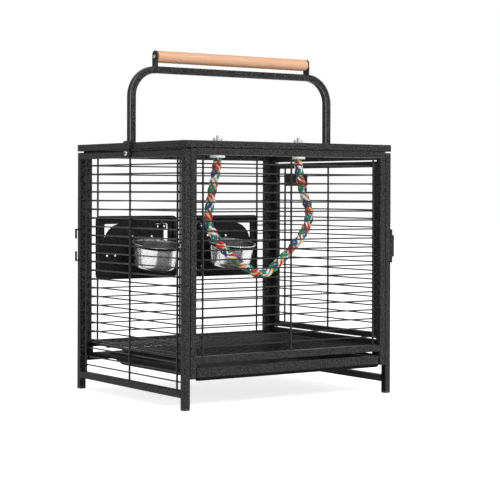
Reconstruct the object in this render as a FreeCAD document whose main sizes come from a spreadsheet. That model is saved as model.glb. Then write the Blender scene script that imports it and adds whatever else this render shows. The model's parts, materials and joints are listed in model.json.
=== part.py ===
import FreeCAD, Part
import math
import os
import re

# Travel cage for a parrot, in millimetres.
# +X runs along the front, the front is the -Y side, +Z is up.
# The origin is on the floor, under the middle of the cage.

# Driving sizes: alias, value, what it measures.
SIZES = (
    ("body_width", 460, "outside width over the corner posts"),
    ("body_depth", 386, "outside depth over the corner posts"),
    ("body_height", 468, "floor to the top of the roof rim"),
    ("tube", 12.7, "side of the square frame tube"),
    ("tube_round", 1.4, "edge radius of the square tube"),
    ("foot_height", 4, "plastic foot under each post"),
    ("post_gap", 2.7, "gap between post tops and roof rim"),
    ("side_tube_height", 21.2, "floor to the underside of the low side tubes"),
    ("rail_height", 79.5, "floor to the underside of the low front and back rails"),
    ("stile_height", 54, "floor to the lower ends of the front and back stiles"),
    ("sill_height", 86, "floor to the underside of the door sill"),
    ("wire", 2.6, "diameter of the close cage wires"),
    ("stay", 3.7, "diameter of the stays that cross the wires"),
    ("weld", 0.05, "gap left at a welded crossing"),
    ("wire_pitch", 16.7, "distance between the roof wires"),
    ("side_wire_pitch", 16.52, "distance between the wires of the left side and the door"),
    ("front_wire_pitch", 16.85, "distance between the wires of front and back"),
    ("wire_drop", 40.2, "roof rim's top to the axis of the highest wire"),
    ("wire_clear", 10, "least distance from a wire's axis to a tube beside it"),
    ("stay_inset", 4, "outer face of a panel to the axis of its stays"),
    ("front_stay_margin", 40, "side face to the outer stays of the front"),
    ("back_stay_margin", 42.3, "side face to the outer stays of the back"),
    ("side_stay_margin", 29.5, "front or back face to the outer stays of the sides"),
    ("roof_wire_drop", 10.4, "roof rim's top to the axis of the roof wires"),
    ("handle_rise", 141.5, "roof rim's top to the top of the handle bar"),
    ("handle_bend", 50.65, "bend radius of the handle's centre line"),
    ("perch_dia", 22.4, "wooden carrying perch"),
    ("perch_lift", 18, "handle bar's top to the perch axis"),
    ("perch_inset", 58, "side face to the perch's end"),
    ("perch_round", 4, "edge radius of the perch ends"),
    ("tab_width", 16.5, "width of the perch tabs"),
    ("tab_over", 3, "perch axis to the middle of a tab's round top"),
    ("tab_thick", 3, "thickness of the perch tabs"),
    ("tab_screw_dia", 6, "head of the perch screws"),
    ("tab_screw_high", 2.4, "height of the perch screw heads"),
    ("bracket_width", 22, "handle bracket along the side"),
    ("bracket_height", 29, "handle bracket from top to bottom"),
    ("bracket_thick", 4.4, "thickness of the handle bracket"),
    ("bracket_over", 3, "handle bracket above the roof rim"),
    ("bracket_round", 3, "corner radius of the handle bracket"),
    ("bolt_head_dia", 9, "head of the handle bolts"),
    ("bolt_head_high", 3.6, "height of the handle bolt heads"),
    ("bolt_drop", 20, "roof rim's top to the axis of the handle bolts"),
    ("hook_reach", 8, "post hooks stand out from the post"),
    ("hook_thick", 3, "thickness of the post hooks"),
    ("hook_width", 3.2, "width of the post hooks"),
    ("hook_length", 19, "length of a post hook's tongue"),
    ("hook_height", 245, "floor to the underside of the lower post hook"),
    ("hook_span", 62, "lower hook's underside to the upper hook's top"),
    ("latch_height", 246, "floor to the lower end of the latch plate"),
    ("latch_tall", 63, "length of the latch plate"),
    ("latch_plate", 4, "thickness of the latch plate"),
    ("latch_block", 4, "latch slider in front of its plate"),
    ("latch_block_tall", 41, "length of the latch slider"),
    ("latch_lip", 1.4, "lip that keeps the slider's key in the plate"),
    ("latch_neck", 14, "neck of the slider's key"),
    ("latch_key", 22, "head of the slider's key"),
    ("latch_key_deep", 1.4, "depth of the key's head"),
    ("slide_clear", 0.25, "running gap of the latch slider"),
    ("door_tube", 11, "square tube of the door frame"),
    ("door_gap", 2.6, "gap above and below the door"),
    ("door_hinge_gap", 5, "gap between door and hinge post"),
    ("door_latch_gap", 3, "gap between door and latch post"),
    ("door_latch_width", 25, "width of the door's latch stile"),
    ("door_stay_margin", 22.3, "door's hinge stile to the stay beside it"),
    ("door_stay_gap", 3.3, "door's latch stile to the stay beside it"),
    ("hinge_pin", 5, "diameter of the door hinge pins"),
    ("hinge_fit", 0.05, "radial play of a hinge pin"),
    ("hinge_depth", 13, "hinge pin inside the door stile"),
    ("hinge_collar", 8, "diameter of the hinge pin's collar"),
    ("hinge_seat", 0.3, "gap between collar and door stile"),
    ("name_plate_long", 78, "blank plate on the door, along the door"),
    ("name_plate_tall", 24, "blank plate on the door, height"),
    ("name_plate_thick", 1.5, "thickness of the blank plate"),
    ("name_plate_drop", 77, "roof rim's top to the underside of the blank plate"),
    ("name_plate_gap", 27.3, "door's hinge stile to the blank plate"),
    ("plate_seat", 0.2, "gap between a sheet plate and the wires behind it"),
    ("feeder_side_gap", 13.6, "back stile to a feeder plate"),
    ("feeder_tall", 124, "height of a feeder plate"),
    ("feeder_drop", 261, "roof rim's top to the lower edge of the feeder plates"),
    ("feeder_between", 12, "gap between the two feeder plates"),
    ("feeder_sheet", 1.2, "thickness of a feeder plate"),
    ("feeder_round", 10, "corner radius of a feeder plate"),
    ("window_outer", 19.5, "feeder plate beside the window, outer side"),
    ("window_inner", 22, "feeder plate beside the window, inner side"),
    ("window_top", 16, "feeder plate above the window"),
    ("window_low", 15.5, "feeder plate below the window"),
    ("window_round", 2, "corner radius of the window"),
    ("wire_lap", 10, "wires reach behind the feeder plate's margin"),
    ("flap_gap", 0.6, "gap around the swinging feeder flap"),
    ("flap_inner_gap", 8.7, "gap between flap and window on the pivot side"),
    ("flap_sheet", 1.2, "thickness of the feeder flap"),
    ("flap_round", 42, "radius of the flap's upper outer corner"),
    ("flap_small_round", 3, "radius of the flap's other corners"),
    ("plate_tab", 8, "folded tab that holds a feeder plate to the back wires"),
    ("plate_tab_inset", 2, "feeder plate's inner edge to that tab"),
    ("plate_tab_margin", 10, "feeder plate's top and bottom to the ends of that tab"),
    ("flap_stop_sheet", 0.8, "thickness of the stop strip on the flap"),
    ("flap_stop_gap", 0.1, "gap between the stop strip and the feeder plate"),
    ("flap_stop_long", 33, "stop strip on the flap, along the wall"),
    ("flap_stop_tall", 14, "stop strip on the flap, height"),
    ("flap_stop_over", 5, "stop strip past the window's edge"),
    ("flap_stop_lift", 39, "feeder plate's lower edge to the underside of the stop strip"),
    ("rivet_dia", 5, "rivet and screw heads of the feeders"),
    ("rivet_high", 1.6, "height of those heads"),
    ("rivet_apart", 18.4, "distance between the two rivets of a stop strip"),
    ("pivot_inset", 7.7, "flap's inner edge to its pivot axis"),
    ("pivot_dia", 4, "diameter of the feeder pivots"),
    ("pivot_fit", 0.05, "radial play of a feeder pivot"),
    ("pivot_seat", 0.3, "gap between a flap knuckle and its ear"),
    ("hinge_leaf_long", 26, "hinge leaf on the flap, along the wall"),
    ("hinge_leaf_tall", 10, "hinge leaf on the flap, height"),
    ("hinge_leaf_thick", 1.2, "thickness of a hinge leaf"),
    ("hinge_screw_apart", 14.5, "distance between the two screws of a hinge leaf"),
    ("knuckle_dia", 8, "knuckles on the feeder flap"),
    ("knuckle_tall", 10, "length of a flap knuckle"),
    ("ear_tall", 6, "height of a pivot ear"),
    ("ear_width", 10, "width of a pivot ear"),
    ("bowl_dia", 97, "feeder bowl over its lip"),
    ("bowl_lip", 2, "thickness of the bowl's lip"),
    ("bowl_deep", 50, "height of the bowl"),
    ("bowl_wall", 1, "wall of the bowl"),
    ("bowl_foot", 80, "diameter of the bowl's flat bottom"),
    ("bowl_round", 12, "radius round the bowl's bottom"),
    ("bowl_seat", 0.3, "gap between the bowl and its ring"),
    ("bowl_side", 43.7, "flap's pivot axis to the bowl's axis, along the wall"),
    ("bowl_reach", 57.9, "flap's inner face to the bowl's axis"),
    ("ring_wall", 2.3, "wall of the bowl ring"),
    ("ring_tall", 8, "height of the bowl ring"),
    ("ring_lift", 70.5, "feeder plate's lower edge to the underside of the ring's arm, before its tilt"),
    ("bowl_tilt", 10, "degrees that ring and bowl dip towards the cage's middle"),
    ("ring_under_lip", 1, "bowl's lip past the ring"),
    ("ring_arm", 20, "width of the arm between ring and flap"),
    ("ring_plate_long", 58, "width of the plate that holds the ring"),
    ("ring_plate_tall", 20, "height of the plate that holds the ring"),
    ("ring_plate_thick", 2, "thickness of the plate that holds the ring"),
    ("ring_screw_apart", 44, "distance between the ring's two screws"),
    ("ring_screw_lift", 12, "lower edge of the ring's plate to the screw axes"),
    ("runner_sheet", 1.5, "sheet of the tray runners"),
    ("runner_height", 66, "floor to the underside of the tray ledge"),
    ("runner_tall", 18.5, "height of a runner's two ends"),
    ("runner_low", 6, "height of a runner between its ends"),
    ("runner_end", 25, "length of a runner's two ends, which carry the grate"),
    ("runner_gap", 0.3, "gap between runner and post"),
    ("tray_ledge", 16.3, "width of the ledge under the tray's flange"),
    ("grate_ledge", 11.5, "width of the ledge under the grate"),
    ("slide_seat", 0.3, "gap under the tray's flange and under the grate"),
    ("tray_side_gap", 1.2, "gap between tray and front stile"),
    ("tray_flange", 9, "width of the tray's side flanges"),
    ("tray_front_flange", 5.4, "width of the tray's front flange"),
    ("tray_back_flange", 25, "width of the tray's back flange"),
    ("flange_round", 2.7, "corner radius of the tray's flange"),
    ("tray_sheet", 1.5, "sheet of the tray"),
    ("tray_deep", 18.8, "height of the tray pan"),
    ("tray_taper", 10, "slope of the tray's front and side walls, top to bottom"),
    ("tray_back_taper", 36, "slope of the tray's back wall, top to bottom"),
    ("tray_corner", 30, "corner radius of the tray in plan"),
    ("tray_round", 7, "radius round the tray's bottom"),
    ("tray_bar_tall", 22, "height of the tray's front bar"),
    ("tray_bar_deep", 7, "depth of the tray's front bar"),
    ("tray_bar_height", 50, "floor to the underside of the tray's front bar"),
    ("tray_bar_round", 5, "radius round the lower edges and ends of the tray's front bar"),
    ("grate_rod", 5, "outer rod of the floor grate"),
    ("grate_wire", 2.6, "close wires of the floor grate"),
    ("grate_pitch", 14.5, "distance between the grate's close wires"),
    ("grate_side_gap", 3.3, "gap between grate and runner"),
    ("grate_end_gap", 1.8, "gap between grate and the rails in front and behind"),
    ("grate_stays", 5, "number of stays under the grate"),
    ("rope_dia", 17, "braided rope perch"),
    ("rope_side", 73, "middle of the cage forward to the rope's plane"),
    ("rope_left_count", 5, "roof wire gaps from the middle to the rope's left end"),
    ("rope_right_count", 6, "roof wire gaps from the middle to the rope's right end"),
    ("disc_dia", 28, "white disc at a rope end"),
    ("disc_thick", 4.5, "thickness of that disc"),
    ("disc_hub", 20, "hub between disc and roof wires"),
    ("rope_end_drop", 27, "roof rim's top to the rope's ends"),
    ("rope_bolt", 6, "bolt at a rope end"),
    ("rope_bolt_over", 14, "bolt's end above the roof rim"),
    ("bolt_fit", 0.05, "radial play of a bolt"),
    ("washer_dia", 22, "washer on the roof wires"),
    ("washer_thick", 1.5, "thickness of that washer"),
    ("nut_dia", 12, "body of a wing nut"),
    ("nut_tall", 7, "height of a wing nut's body"),
    ("nut_span", 22, "width over a wing nut's wings"),
    ("nut_wing_tall", 9, "height of a wing nut's wings above its body"),
    ("nut_wing_thick", 2.4, "thickness of a wing nut's wings"),
    ("nut_gap", 0.3, "gap between washer and wing nut"),
)

# The rope hangs in one plane: distance to the right of the middle, and height.
# Its first and last points are worked out from the discs that hold it.
ROPE_POINTS = (
    (-97, 396),
    (-107.5, 345),
    (-92, 301),
    (-58, 269),
    (-26, 246),
    (8, 223),
    (46, 223.5),
    (78, 247),
    (104, 285),
    (126, 338),
    (111, 389),
)
ARC_SHARE = 0.45

ALONG = {
    "x": FreeCAD.Rotation(FreeCAD.Vector(0, 1, 0), 90),
    "y": FreeCAD.Rotation(FreeCAD.Vector(1, 0, 0), -90),
    "z": FreeCAD.Rotation(),
}
AXES = {"x": FreeCAD.Vector(1, 0, 0), "y": FreeCAD.Vector(0, 1, 0), "z": FreeCAD.Vector(0, 0, 1)}
SIDES = (("left", -1), ("right", 1))

doc = FreeCAD.newDocument("parrot_travel_cage")
sheet = doc.addObject("Spreadsheet::Sheet", "Sizes")
for row, (alias, value, note) in enumerate(SIZES, start=1):
    sheet.set(f"A{row}", note)
    sheet.set(f"B{row}", str(value))
    sheet.setAlias(f"B{row}", alias)
doc.recompute()
mm = {alias: float(sheet.get(alias)) for alias, value, note in SIZES}
parts = []


def bind(text):
    """Put the sheet's name before every alias in an expression."""
    return re.sub(r"[a-z]\w*", lambda word: "Sizes." + word.group(0), text)


def keep(item, label):
    """Make an object a sub-part of the cage under its own label."""
    item.Label = label
    parts.append(item)
    return item


def primitive(kind, name, at, along="z", **sizes):
    """Add a Part primitive whose sizes and place are bound to the sheet."""
    item = doc.addObject("Part::" + kind, name)
    item.Placement = FreeCAD.Placement(FreeCAD.Vector(), ALONG[along])
    for prop, text in sizes.items():
        item.setExpression(prop, bind(text))
    for axis, text in zip("xyz", at):
        item.setExpression("Placement.Base." + axis, bind(text))
    return item


def box(name, low, span):
    """Box from its lowest corner and its spans along X, Y and Z."""
    return primitive("Box", name, low, Length=span[0], Width=span[1], Height=span[2])


def rod(name, start, along, radius, length):
    """Round bar from the middle of one end."""
    return primitive("Cylinder", name, start, along, Radius=radius, Height=length)


def rounded(base, name, radii):
    """Round edges of an object: radii maps an edge number to its radius."""
    item = doc.addObject("Part::Fillet", name)
    item.Base = base
    item.Edges = [(edge, radius, radius) for edge, radius in radii.items()]
    return item


def box_edges(along, x=0, y=0, z=0):
    """Numbers of a box's edges along an axis; x, y and z keep those on one side of the box's middle."""
    sample = Part.makeBox(1, 1, 1)
    found = []
    for number, edge in enumerate(sample.Edges, start=1):
        away = edge.CenterOfMass - sample.CenterOfMass
        parallel = abs(away * AXES[along]) < edge.Length / 4
        if parallel and away.x * x >= 0 and away.y * y >= 0 and away.z * z >= 0:
            found.append(number)
    return found


def round_edges(solid, z=0):
    """Numbers of the circular edges of a turned solid; z keeps those above or below its middle."""
    middle = solid.BoundBox.Center.z
    rings = [(number, edge) for number, edge in enumerate(solid.Edges, start=1) if edge.isClosed()]
    return [number for number, edge in rings if (edge.BoundBox.Center.z - middle) * z >= 0]


def rounded_box(name, low, span, along, radius):
    """Box with its four edges along one axis rounded."""
    core = box(name + "_core", low, span)
    return rounded(core, name, {edge: radius for edge in box_edges(along)})


def fuse(name, items):
    """Join objects that are one piece of metal."""
    item = doc.addObject("Part::MultiFuse", name)
    item.Shapes = items
    item.Refine = True
    return item


def cut(name, base, tool):
    """Take one object away from another."""
    item = doc.addObject("Part::Cut", name)
    item.Base = base
    item.Tool = tool
    return item


def group(name, items):
    """Keep separate solids together in one sub-part."""
    item = doc.addObject("Part::Compound", name)
    item.Links = items
    return item


def tube_bar(name, low, along, length):
    """Length of the square frame tube from its lowest corner."""
    span = [length if axis == along else "tube" for axis in "xyz"]
    return rounded_box(name, low, span, along, mm["tube_round"])


def mirrored(side, near, span):
    """Lowest coordinate of a span that starts at a distance from the middle plane."""
    return near if side > 0 else f"-({near}) - ({span})"


HALF_WIDTH = "body_width / 2"
HALF_DEPTH = "body_depth / 2"
INNER_WIDTH = "(body_width / 2 - tube)"
INNER_DEPTH = "(body_depth / 2 - tube)"
RIM_LOW = "(body_height - tube)"
POST_TOP = "(body_height - tube - post_gap)"
SIDE_TUBE_LOW = "(body_height - 2 * tube - post_gap)"
TOP_RAIL_LOW = "(body_height - 2 * tube)"
STILE_INNER = "(body_width / 2 - 2 * tube)"
WIRE_INSET = "(stay_inset + (stay + wire) / 2 + weld)"


def wire_levels(low, high, pitch):
    """Counts of the cage wires, from the highest one, that fit between two heights."""
    highest = mm["body_height"] - mm["wire_drop"]
    count = int((highest - low) / mm[pitch]) + 1
    levels = [(step, highest - step * mm[pitch]) for step in range(count + 1)]
    clear = mm["wire_clear"]
    return [step for step, height in levels if low + clear <= height <= high - clear]


def wire_height(step, pitch):
    """Height of one cage wire's axis as an expression."""
    return f"body_height - wire_drop - {step} * {pitch}"


# Side frames: posts on plastic feet, with a tube between them at the top and near the floor.
feet = []
for side_name, side in SIDES:
    post_x = mirrored(side, INNER_WIDTH, "tube")
    for end_name, end in (("front", -1), ("back", 1)):
        post_y = mirrored(end, INNER_DEPTH, "tube")
        name = f"{side_name}_{end_name}_post"
        post = tube_bar(name + "_tube", (post_x, post_y, "foot_height"), "z", POST_TOP + " - foot_height")
        keep(post, name)
        span = ("tube", "tube", "foot_height")
        foot_name = f"foot_{side_name}_{end_name}"
        feet.append(rounded_box(foot_name, (post_x, post_y, "0"), span, "z", mm["tube_round"]))
    between = "2 * " + INNER_DEPTH
    for level, height in (("top", SIDE_TUBE_LOW), ("low", "side_tube_height")):
        name = f"{side_name}_{level}_tube"
        keep(tube_bar(name + "_bar", (post_x, "-" + INNER_DEPTH, height), "y", between), name)
keep(group("feet_group", feet), "foot_caps")
sill_at = (INNER_WIDTH, "-" + INNER_DEPTH, "sill_height")
keep(tube_bar("sill_bar", sill_at, "y", "2 * " + INNER_DEPTH), "door_sill_tube")

# Left wire panel: close wires from post to post, behind three stays.
left_stays = []
SIDE_STAYS = ("side_stay_margin - body_depth / 2", "0", "body_depth / 2 - side_stay_margin")
for step, along_side in enumerate(SIDE_STAYS):
    start = ("stay_inset - body_width / 2", along_side, "side_tube_height + tube")
    length = SIDE_TUBE_LOW + " - side_tube_height - tube"
    left_stays.append(rod(f"left_stay_{step}", start, "z", "stay / 2", length))
left_wires = []
side_tube_top = mm["side_tube_height"] + mm["tube"]
side_tube_low = mm["body_height"] - 2 * mm["tube"] - mm["post_gap"]
for step in wire_levels(side_tube_top, side_tube_low, "side_wire_pitch"):
    start = (f"{WIRE_INSET} - body_width / 2", "-" + INNER_DEPTH, wire_height(step, "side_wire_pitch"))
    left_wires.append(rod(f"left_wire_{step}", start, "y", "wire / 2", "2 * " + INNER_DEPTH))
keep(group("left_panel", left_stays + left_wires), "left_wire_panel")

# Front and back frames: stiles beside the posts, a rail under the roof rim and a low rail.
rail_top = mm["rail_height"] + mm["tube"]
top_rail_low = mm["body_height"] - 2 * mm["tube"]
panel_levels = wire_levels(rail_top, top_rail_low, "front_wire_pitch")
FEEDER_INNER = "(feeder_between / 2)"
FEEDER_LONG = f"({STILE_INNER} - feeder_side_gap - feeder_between / 2)"
WINDOW_NEAR = "(feeder_between / 2 + window_inner)"
WINDOW_FAR = f"({STILE_INNER} - feeder_side_gap - window_outer)"
END_STAYS = {
    "front": ("front_stay_margin - body_width / 2", "0", "body_width / 2 - front_stay_margin"),
    "back": ("back_stay_margin - body_width / 2", "0", "body_width / 2 - back_stay_margin"),
}
feeder_low = mm["body_height"] - mm["feeder_drop"]
window_low = feeder_low + mm["window_low"]
window_high = feeder_low + mm["feeder_tall"] - mm["window_top"]
for end_name, end in (("front", -1), ("back", 1)):
    frame_y = mirrored(end, INNER_DEPTH, "tube")
    for side_name, side in SIDES:
        stile_x = mirrored(side, STILE_INNER, "tube")
        name = f"{end_name}_{side_name}_stile"
        low = (stile_x, frame_y, "stile_height")
        keep(tube_bar(name + "_tube", low, "z", RIM_LOW + " - stile_height"), name)
    between = "2 * " + STILE_INNER
    start_x = "-" + STILE_INNER
    top_rail = tube_bar(f"{end_name}_top_bar", (start_x, frame_y, TOP_RAIL_LOW), "x", between)
    keep(top_rail, f"{end_name}_top_rail")
    low_rail = tube_bar(f"{end_name}_low_bar", (start_x, frame_y, "rail_height"), "x", between)
    if end < 0:
        keep(low_rail, "front_low_rail")
    else:
        stop = tube_bar("tray_stop_bar", (start_x, frame_y, "stile_height"), "x", between)
        keep(group("back_low_bars", [low_rail, stop]), "back_low_rails")
    bars = []
    stay_y = f"{end} * (body_depth / 2 - stay_inset)"
    wire_y = f"{end} * (body_depth / 2 - {WIRE_INSET})"
    for step, stay_x in enumerate(END_STAYS[end_name]):
        start = (stay_x, stay_y, "rail_height + tube")
        length = TOP_RAIL_LOW + " - rail_height - tube"
        bars.append(rod(f"{end_name}_stay_{step}", start, "z", "stay / 2", length))
    for step in panel_levels:
        height = mm["body_height"] - mm["wire_drop"] - step * mm["front_wire_pitch"]
        runs = [("-" + STILE_INNER, between)]
        if end > 0 and window_low - mm["wire"] < height < window_high + mm["wire"]:
            # Wires stop behind the feeder plates' margins and leave the windows open.
            outer = f"({STILE_INNER} - {WINDOW_FAR} - wire_lap)"
            middle = f"({WINDOW_NEAR} - wire_lap)"
            runs = [
                ("-" + STILE_INNER, outer),
                ("-" + middle, "2 * " + middle),
                (f"{WINDOW_FAR} + wire_lap", outer),
            ]
        for number, (start_x, length) in enumerate(runs):
            start = (start_x, wire_y, wire_height(step, "front_wire_pitch"))
            bars.append(rod(f"{end_name}_wire_{step}_{number}", start, "x", "wire / 2", length))
    keep(group(f"{end_name}_panel", bars), f"{end_name}_wire_panel")

# Roof: a rim of tube on the front and back rails, with wires across and stays over them.
rim_bars = []
for end in (-1, 1):
    low = ("-" + HALF_WIDTH, mirrored(end, INNER_DEPTH, "tube"), RIM_LOW)
    rim_bars.append(tube_bar(f"rim_end_{end + 1}", low, "x", "body_width"))
for side in (-1, 1):
    low = (mirrored(side, INNER_WIDTH, "tube"), "-" + INNER_DEPTH, RIM_LOW)
    rim_bars.append(tube_bar(f"rim_side_{side + 1}", low, "y", "2 * " + INNER_DEPTH))
keep(group("rim_group", rim_bars), "roof_rim")
ROOF_WIRE = "(body_height - roof_wire_drop)"
roof_bars = []
half_count = int((mm["body_width"] / 2 - mm["tube"] - mm["wire"]) / mm["wire_pitch"] + 0.5)
for step in range(-half_count, half_count):
    start = (f"({step} + 0.5) * wire_pitch", "-" + INNER_DEPTH, ROOF_WIRE)
    roof_bars.append(rod(f"roof_wire_{step + half_count}", start, "y", "wire / 2", "2 * " + INNER_DEPTH))
for step, stay_y in enumerate(SIDE_STAYS):
    start = ("-" + INNER_WIDTH, stay_y, ROOF_WIRE + " + (wire + stay) / 2 + weld")
    roof_bars.append(rod(f"roof_stay_{step}", start, "x", "stay / 2", "2 * " + INNER_WIDTH))
keep(group("roof_panel", roof_bars), "roof_wire_panel")

# Runners between the stiles: a ledge for the tray's flange, and taller ends with ledges for the grate.
for side_name, side in SIDES:
    web_near = f"({INNER_WIDTH} - runner_gap - runner_sheet)"
    start_y = "-" + INNER_DEPTH
    length = "2 * " + INNER_DEPTH
    web_x = mirrored(side, web_near, "runner_sheet")
    web_at = (web_x, start_y, "runner_height")
    sheets = [box(f"runner_web_{side_name}", web_at, ("runner_sheet", length, "runner_low"))]
    ledge_at = (mirrored(side, f"({web_near} - tray_ledge)", "tray_ledge"), start_y, "runner_height")
    sheets.append(box(f"tray_ledge_{side_name}", ledge_at, ("tray_ledge", length, "runner_sheet")))
    ledge_x = mirrored(side, f"({web_near} - grate_ledge)", "grate_ledge")
    ledge_z = "runner_height + runner_tall - runner_sheet"
    for end_name, end_y in (("front", start_y), ("back", INNER_DEPTH + " - runner_end")):
        name = f"{end_name}_{side_name}"
        end_span = ("runner_sheet", "runner_end", "runner_tall")
        sheets.append(box(f"runner_end_{name}", (web_x, end_y, "runner_height"), end_span))
        ledge_span = ("grate_ledge", "runner_end", "runner_sheet")
        sheets.append(box(f"grate_ledge_{name}", (ledge_x, end_y, ledge_z), ledge_span))
    keep(fuse(f"runner_{side_name}", sheets), f"tray_runner_{side_name}")

# Carrying handle: a bent tube on the roof rim, with brackets and bolts outside the rim.
PERCH_AXIS = "(body_height + handle_rise + perch_lift)"
PERCH_HALF = "(body_width / 2 - perch_inset)"


def square_profile(centre, normal):
    """Rounded square outline of the frame tube, across a direction along Z."""
    half = mm["tube"] / 2
    edge = mm["tube_round"]
    flat = half - edge
    corners = ((1, 1), (-1, 1), (-1, -1), (1, -1))
    pieces = []
    for number, (across, deep) in enumerate(corners):
        turn = math.radians(90 * number)
        hub = FreeCAD.Vector(across * flat, deep * flat, 0)
        swings = (turn, turn + math.pi / 4, turn + math.pi / 2)
        ends = [hub + FreeCAD.Vector(math.cos(swing), math.sin(swing), 0) * edge for swing in swings]
        pieces.append(Part.Arc(*ends).toShape())
        after = corners[(number + 1) % len(corners)]
        next_hub = FreeCAD.Vector(after[0] * flat, after[1] * flat, 0)
        next_turn = turn + math.pi / 2
        next_start = next_hub + FreeCAD.Vector(math.cos(next_turn), math.sin(next_turn), 0) * edge
        pieces.append(Part.LineSegment(ends[2], next_start).toShape())
    outline = Part.Wire(pieces)
    outline.Placement = FreeCAD.Placement(centre, FreeCAD.Rotation(FreeCAD.Vector(0, 0, 1), normal))
    return outline


def handle_shape():
    """Square tube swept up one leg, round two bends and down the other leg."""
    leg = mm["body_width"] / 2 - mm["tube"] / 2
    low = mm["body_height"]
    bar = low + mm["handle_rise"] - mm["tube"] / 2
    bend = mm["handle_bend"]
    slant = bend * math.sqrt(0.5)

    def at(x, z):
        return FreeCAD.Vector(x, 0, z)

    edges = [
        Part.LineSegment(at(-leg, low), at(-leg, bar - bend)),
        Part.Arc(at(-leg, bar - bend), at(bend - leg - slant, bar - bend + slant), at(bend - leg, bar)),
        Part.LineSegment(at(bend - leg, bar), at(leg - bend, bar)),
        Part.Arc(at(leg - bend, bar), at(leg - bend + slant, bar - bend + slant), at(leg, bar - bend)),
        Part.LineSegment(at(leg, bar - bend), at(leg, low)),
    ]
    path = Part.Wire([edge.toShape() for edge in edges])
    return path.makePipeShell([square_profile(at(-leg, low), FreeCAD.Vector(0, 0, 1))], True, False)


handle = doc.addObject("Part::Feature", "handle_bend")
handle.Shape = handle_shape()
keep(handle, "handle_tube")
brackets = []
bolts = []
tabs = []
screws = []
for side_name, side in SIDES:
    bracket_x = mirrored(side, HALF_WIDTH, "bracket_thick")
    low = (bracket_x, "-bracket_width / 2", "body_height + bracket_over - bracket_height")
    span = ("bracket_thick", "bracket_width", "bracket_height")
    brackets.append(rounded_box(f"bracket_{side_name}", low, span, "x", mm["bracket_round"]))
    head_x = mirrored(side, "(body_width / 2 + bracket_thick)", "bolt_head_high")
    bolt_at = (head_x, "0", "body_height - bolt_drop")
    bolts.append(rod(f"bolt_{side_name}", bolt_at, "x", "bolt_head_dia / 2", "bolt_head_high"))
    tab_x = mirrored(side, PERCH_HALF, "tab_thick")
    tab_at = (tab_x, "-tab_width / 2", "body_height + handle_rise")
    post = box(f"tab_post_{side_name}", tab_at, ("tab_thick", "tab_width", "perch_lift + tab_over"))
    crown_at = (tab_x, "0", PERCH_AXIS + " + tab_over")
    crown = rod(f"tab_crown_{side_name}", crown_at, "x", "tab_width / 2", "tab_thick")
    tabs.append(fuse(f"tab_{side_name}", [post, crown]))
    screw_x = mirrored(side, f"({PERCH_HALF} + tab_thick)", "tab_screw_high")
    screw_at = (screw_x, "0", PERCH_AXIS)
    screws.append(rod(f"perch_screw_{side_name}", screw_at, "x", "tab_screw_dia / 2", "tab_screw_high"))
keep(group("bracket_group", brackets), "handle_brackets")
keep(group("tab_group", tabs), "perch_tabs")
keep(group("fastener_group", bolts + screws), "handle_fasteners")
perch = rod("perch_bar", ("-" + PERCH_HALF, "0", PERCH_AXIS), "x", "perch_dia / 2", "2 * " + PERCH_HALF)
perch_ends = {edge: mm["perch_round"] for edge in round_edges(Part.makeCylinder(1, 1))}
keep(rounded(perch, "perch_round_bar", perch_ends), "carrying_perch")

# Two hooks on the left back post, tongues towards each other.
hooks = []
hook_y = "body_depth / 2 - tube / 2 - hook_width / 2"
hook_x = "-body_width / 2 - hook_reach"
for name, arm_z, tongue_z in (
    ("lower", "hook_height", "hook_height"),
    ("upper", "hook_height + hook_span - hook_thick", "hook_height + hook_span - hook_length"),
):
    arm = box(f"hook_arm_{name}", (hook_x, hook_y, arm_z), ("hook_reach", "hook_width", "hook_thick"))
    tongue_span = ("hook_thick", "hook_width", "hook_length")
    tongue = box(f"hook_tongue_{name}", (hook_x, hook_y, tongue_z), tongue_span)
    hooks.append(fuse(f"hook_{name}", [arm, tongue]))
keep(group("hook_group", hooks), "post_hooks")

# Door latch: a plate on the right front post with a keyed slot, and a slider whose key runs in it.
latch_middle = "(latch_height + latch_tall / 2)"
plate_low = (HALF_WIDTH, "-" + HALF_DEPTH, "latch_height")
plate_span = ("latch_plate", "tube", "latch_tall")
plate = rounded_box("latch_plate_body", plate_low, plate_span, "x", mm["tube_round"])
slot_deep = "(latch_key_deep + 2 * slide_clear)"
LIP_IN = "(body_width / 2 + latch_plate - latch_lip)"
slot_key = box(
    "latch_slot_key",
    (f"{LIP_IN} - {slot_deep}", "-" + HALF_DEPTH, f"{latch_middle} - latch_key / 2 - slide_clear"),
    (slot_deep, "tube", "latch_key + 2 * slide_clear"),
)
slot_neck = box(
    "latch_slot_neck",
    (LIP_IN, "-" + HALF_DEPTH, f"{latch_middle} - latch_neck / 2 - slide_clear"),
    ("latch_lip", "tube", "latch_neck + 2 * slide_clear"),
)
keep(cut("latch_slotted", plate, fuse("latch_slot", [slot_key, slot_neck])), "latch_plate")
key_low = f"{LIP_IN} - slide_clear - latch_key_deep"
slider_key = box(
    "latch_slider_key",
    (key_low, "-" + HALF_DEPTH, f"{latch_middle} - latch_key / 2"),
    ("latch_key_deep", "tube", "latch_key"),
)
slider_neck = box(
    "latch_slider_neck",
    (key_low, "-" + HALF_DEPTH, f"{latch_middle} - latch_neck / 2"),
    ("latch_key_deep + latch_lip + 2 * slide_clear", "tube", "latch_neck"),
)
block_x = "body_width / 2 + latch_plate + slide_clear"
block_low = (block_x, "-" + HALF_DEPTH, f"{latch_middle} - latch_block_tall / 2")
block_span = ("latch_block - slide_clear", "tube", "latch_block_tall")
slider_block = rounded_box("latch_slider_block", block_low, block_span, "x", mm["tube_round"])
keep(fuse("latch_slider_body", [slider_key, slider_neck, slider_block]), "latch_slider")

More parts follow.
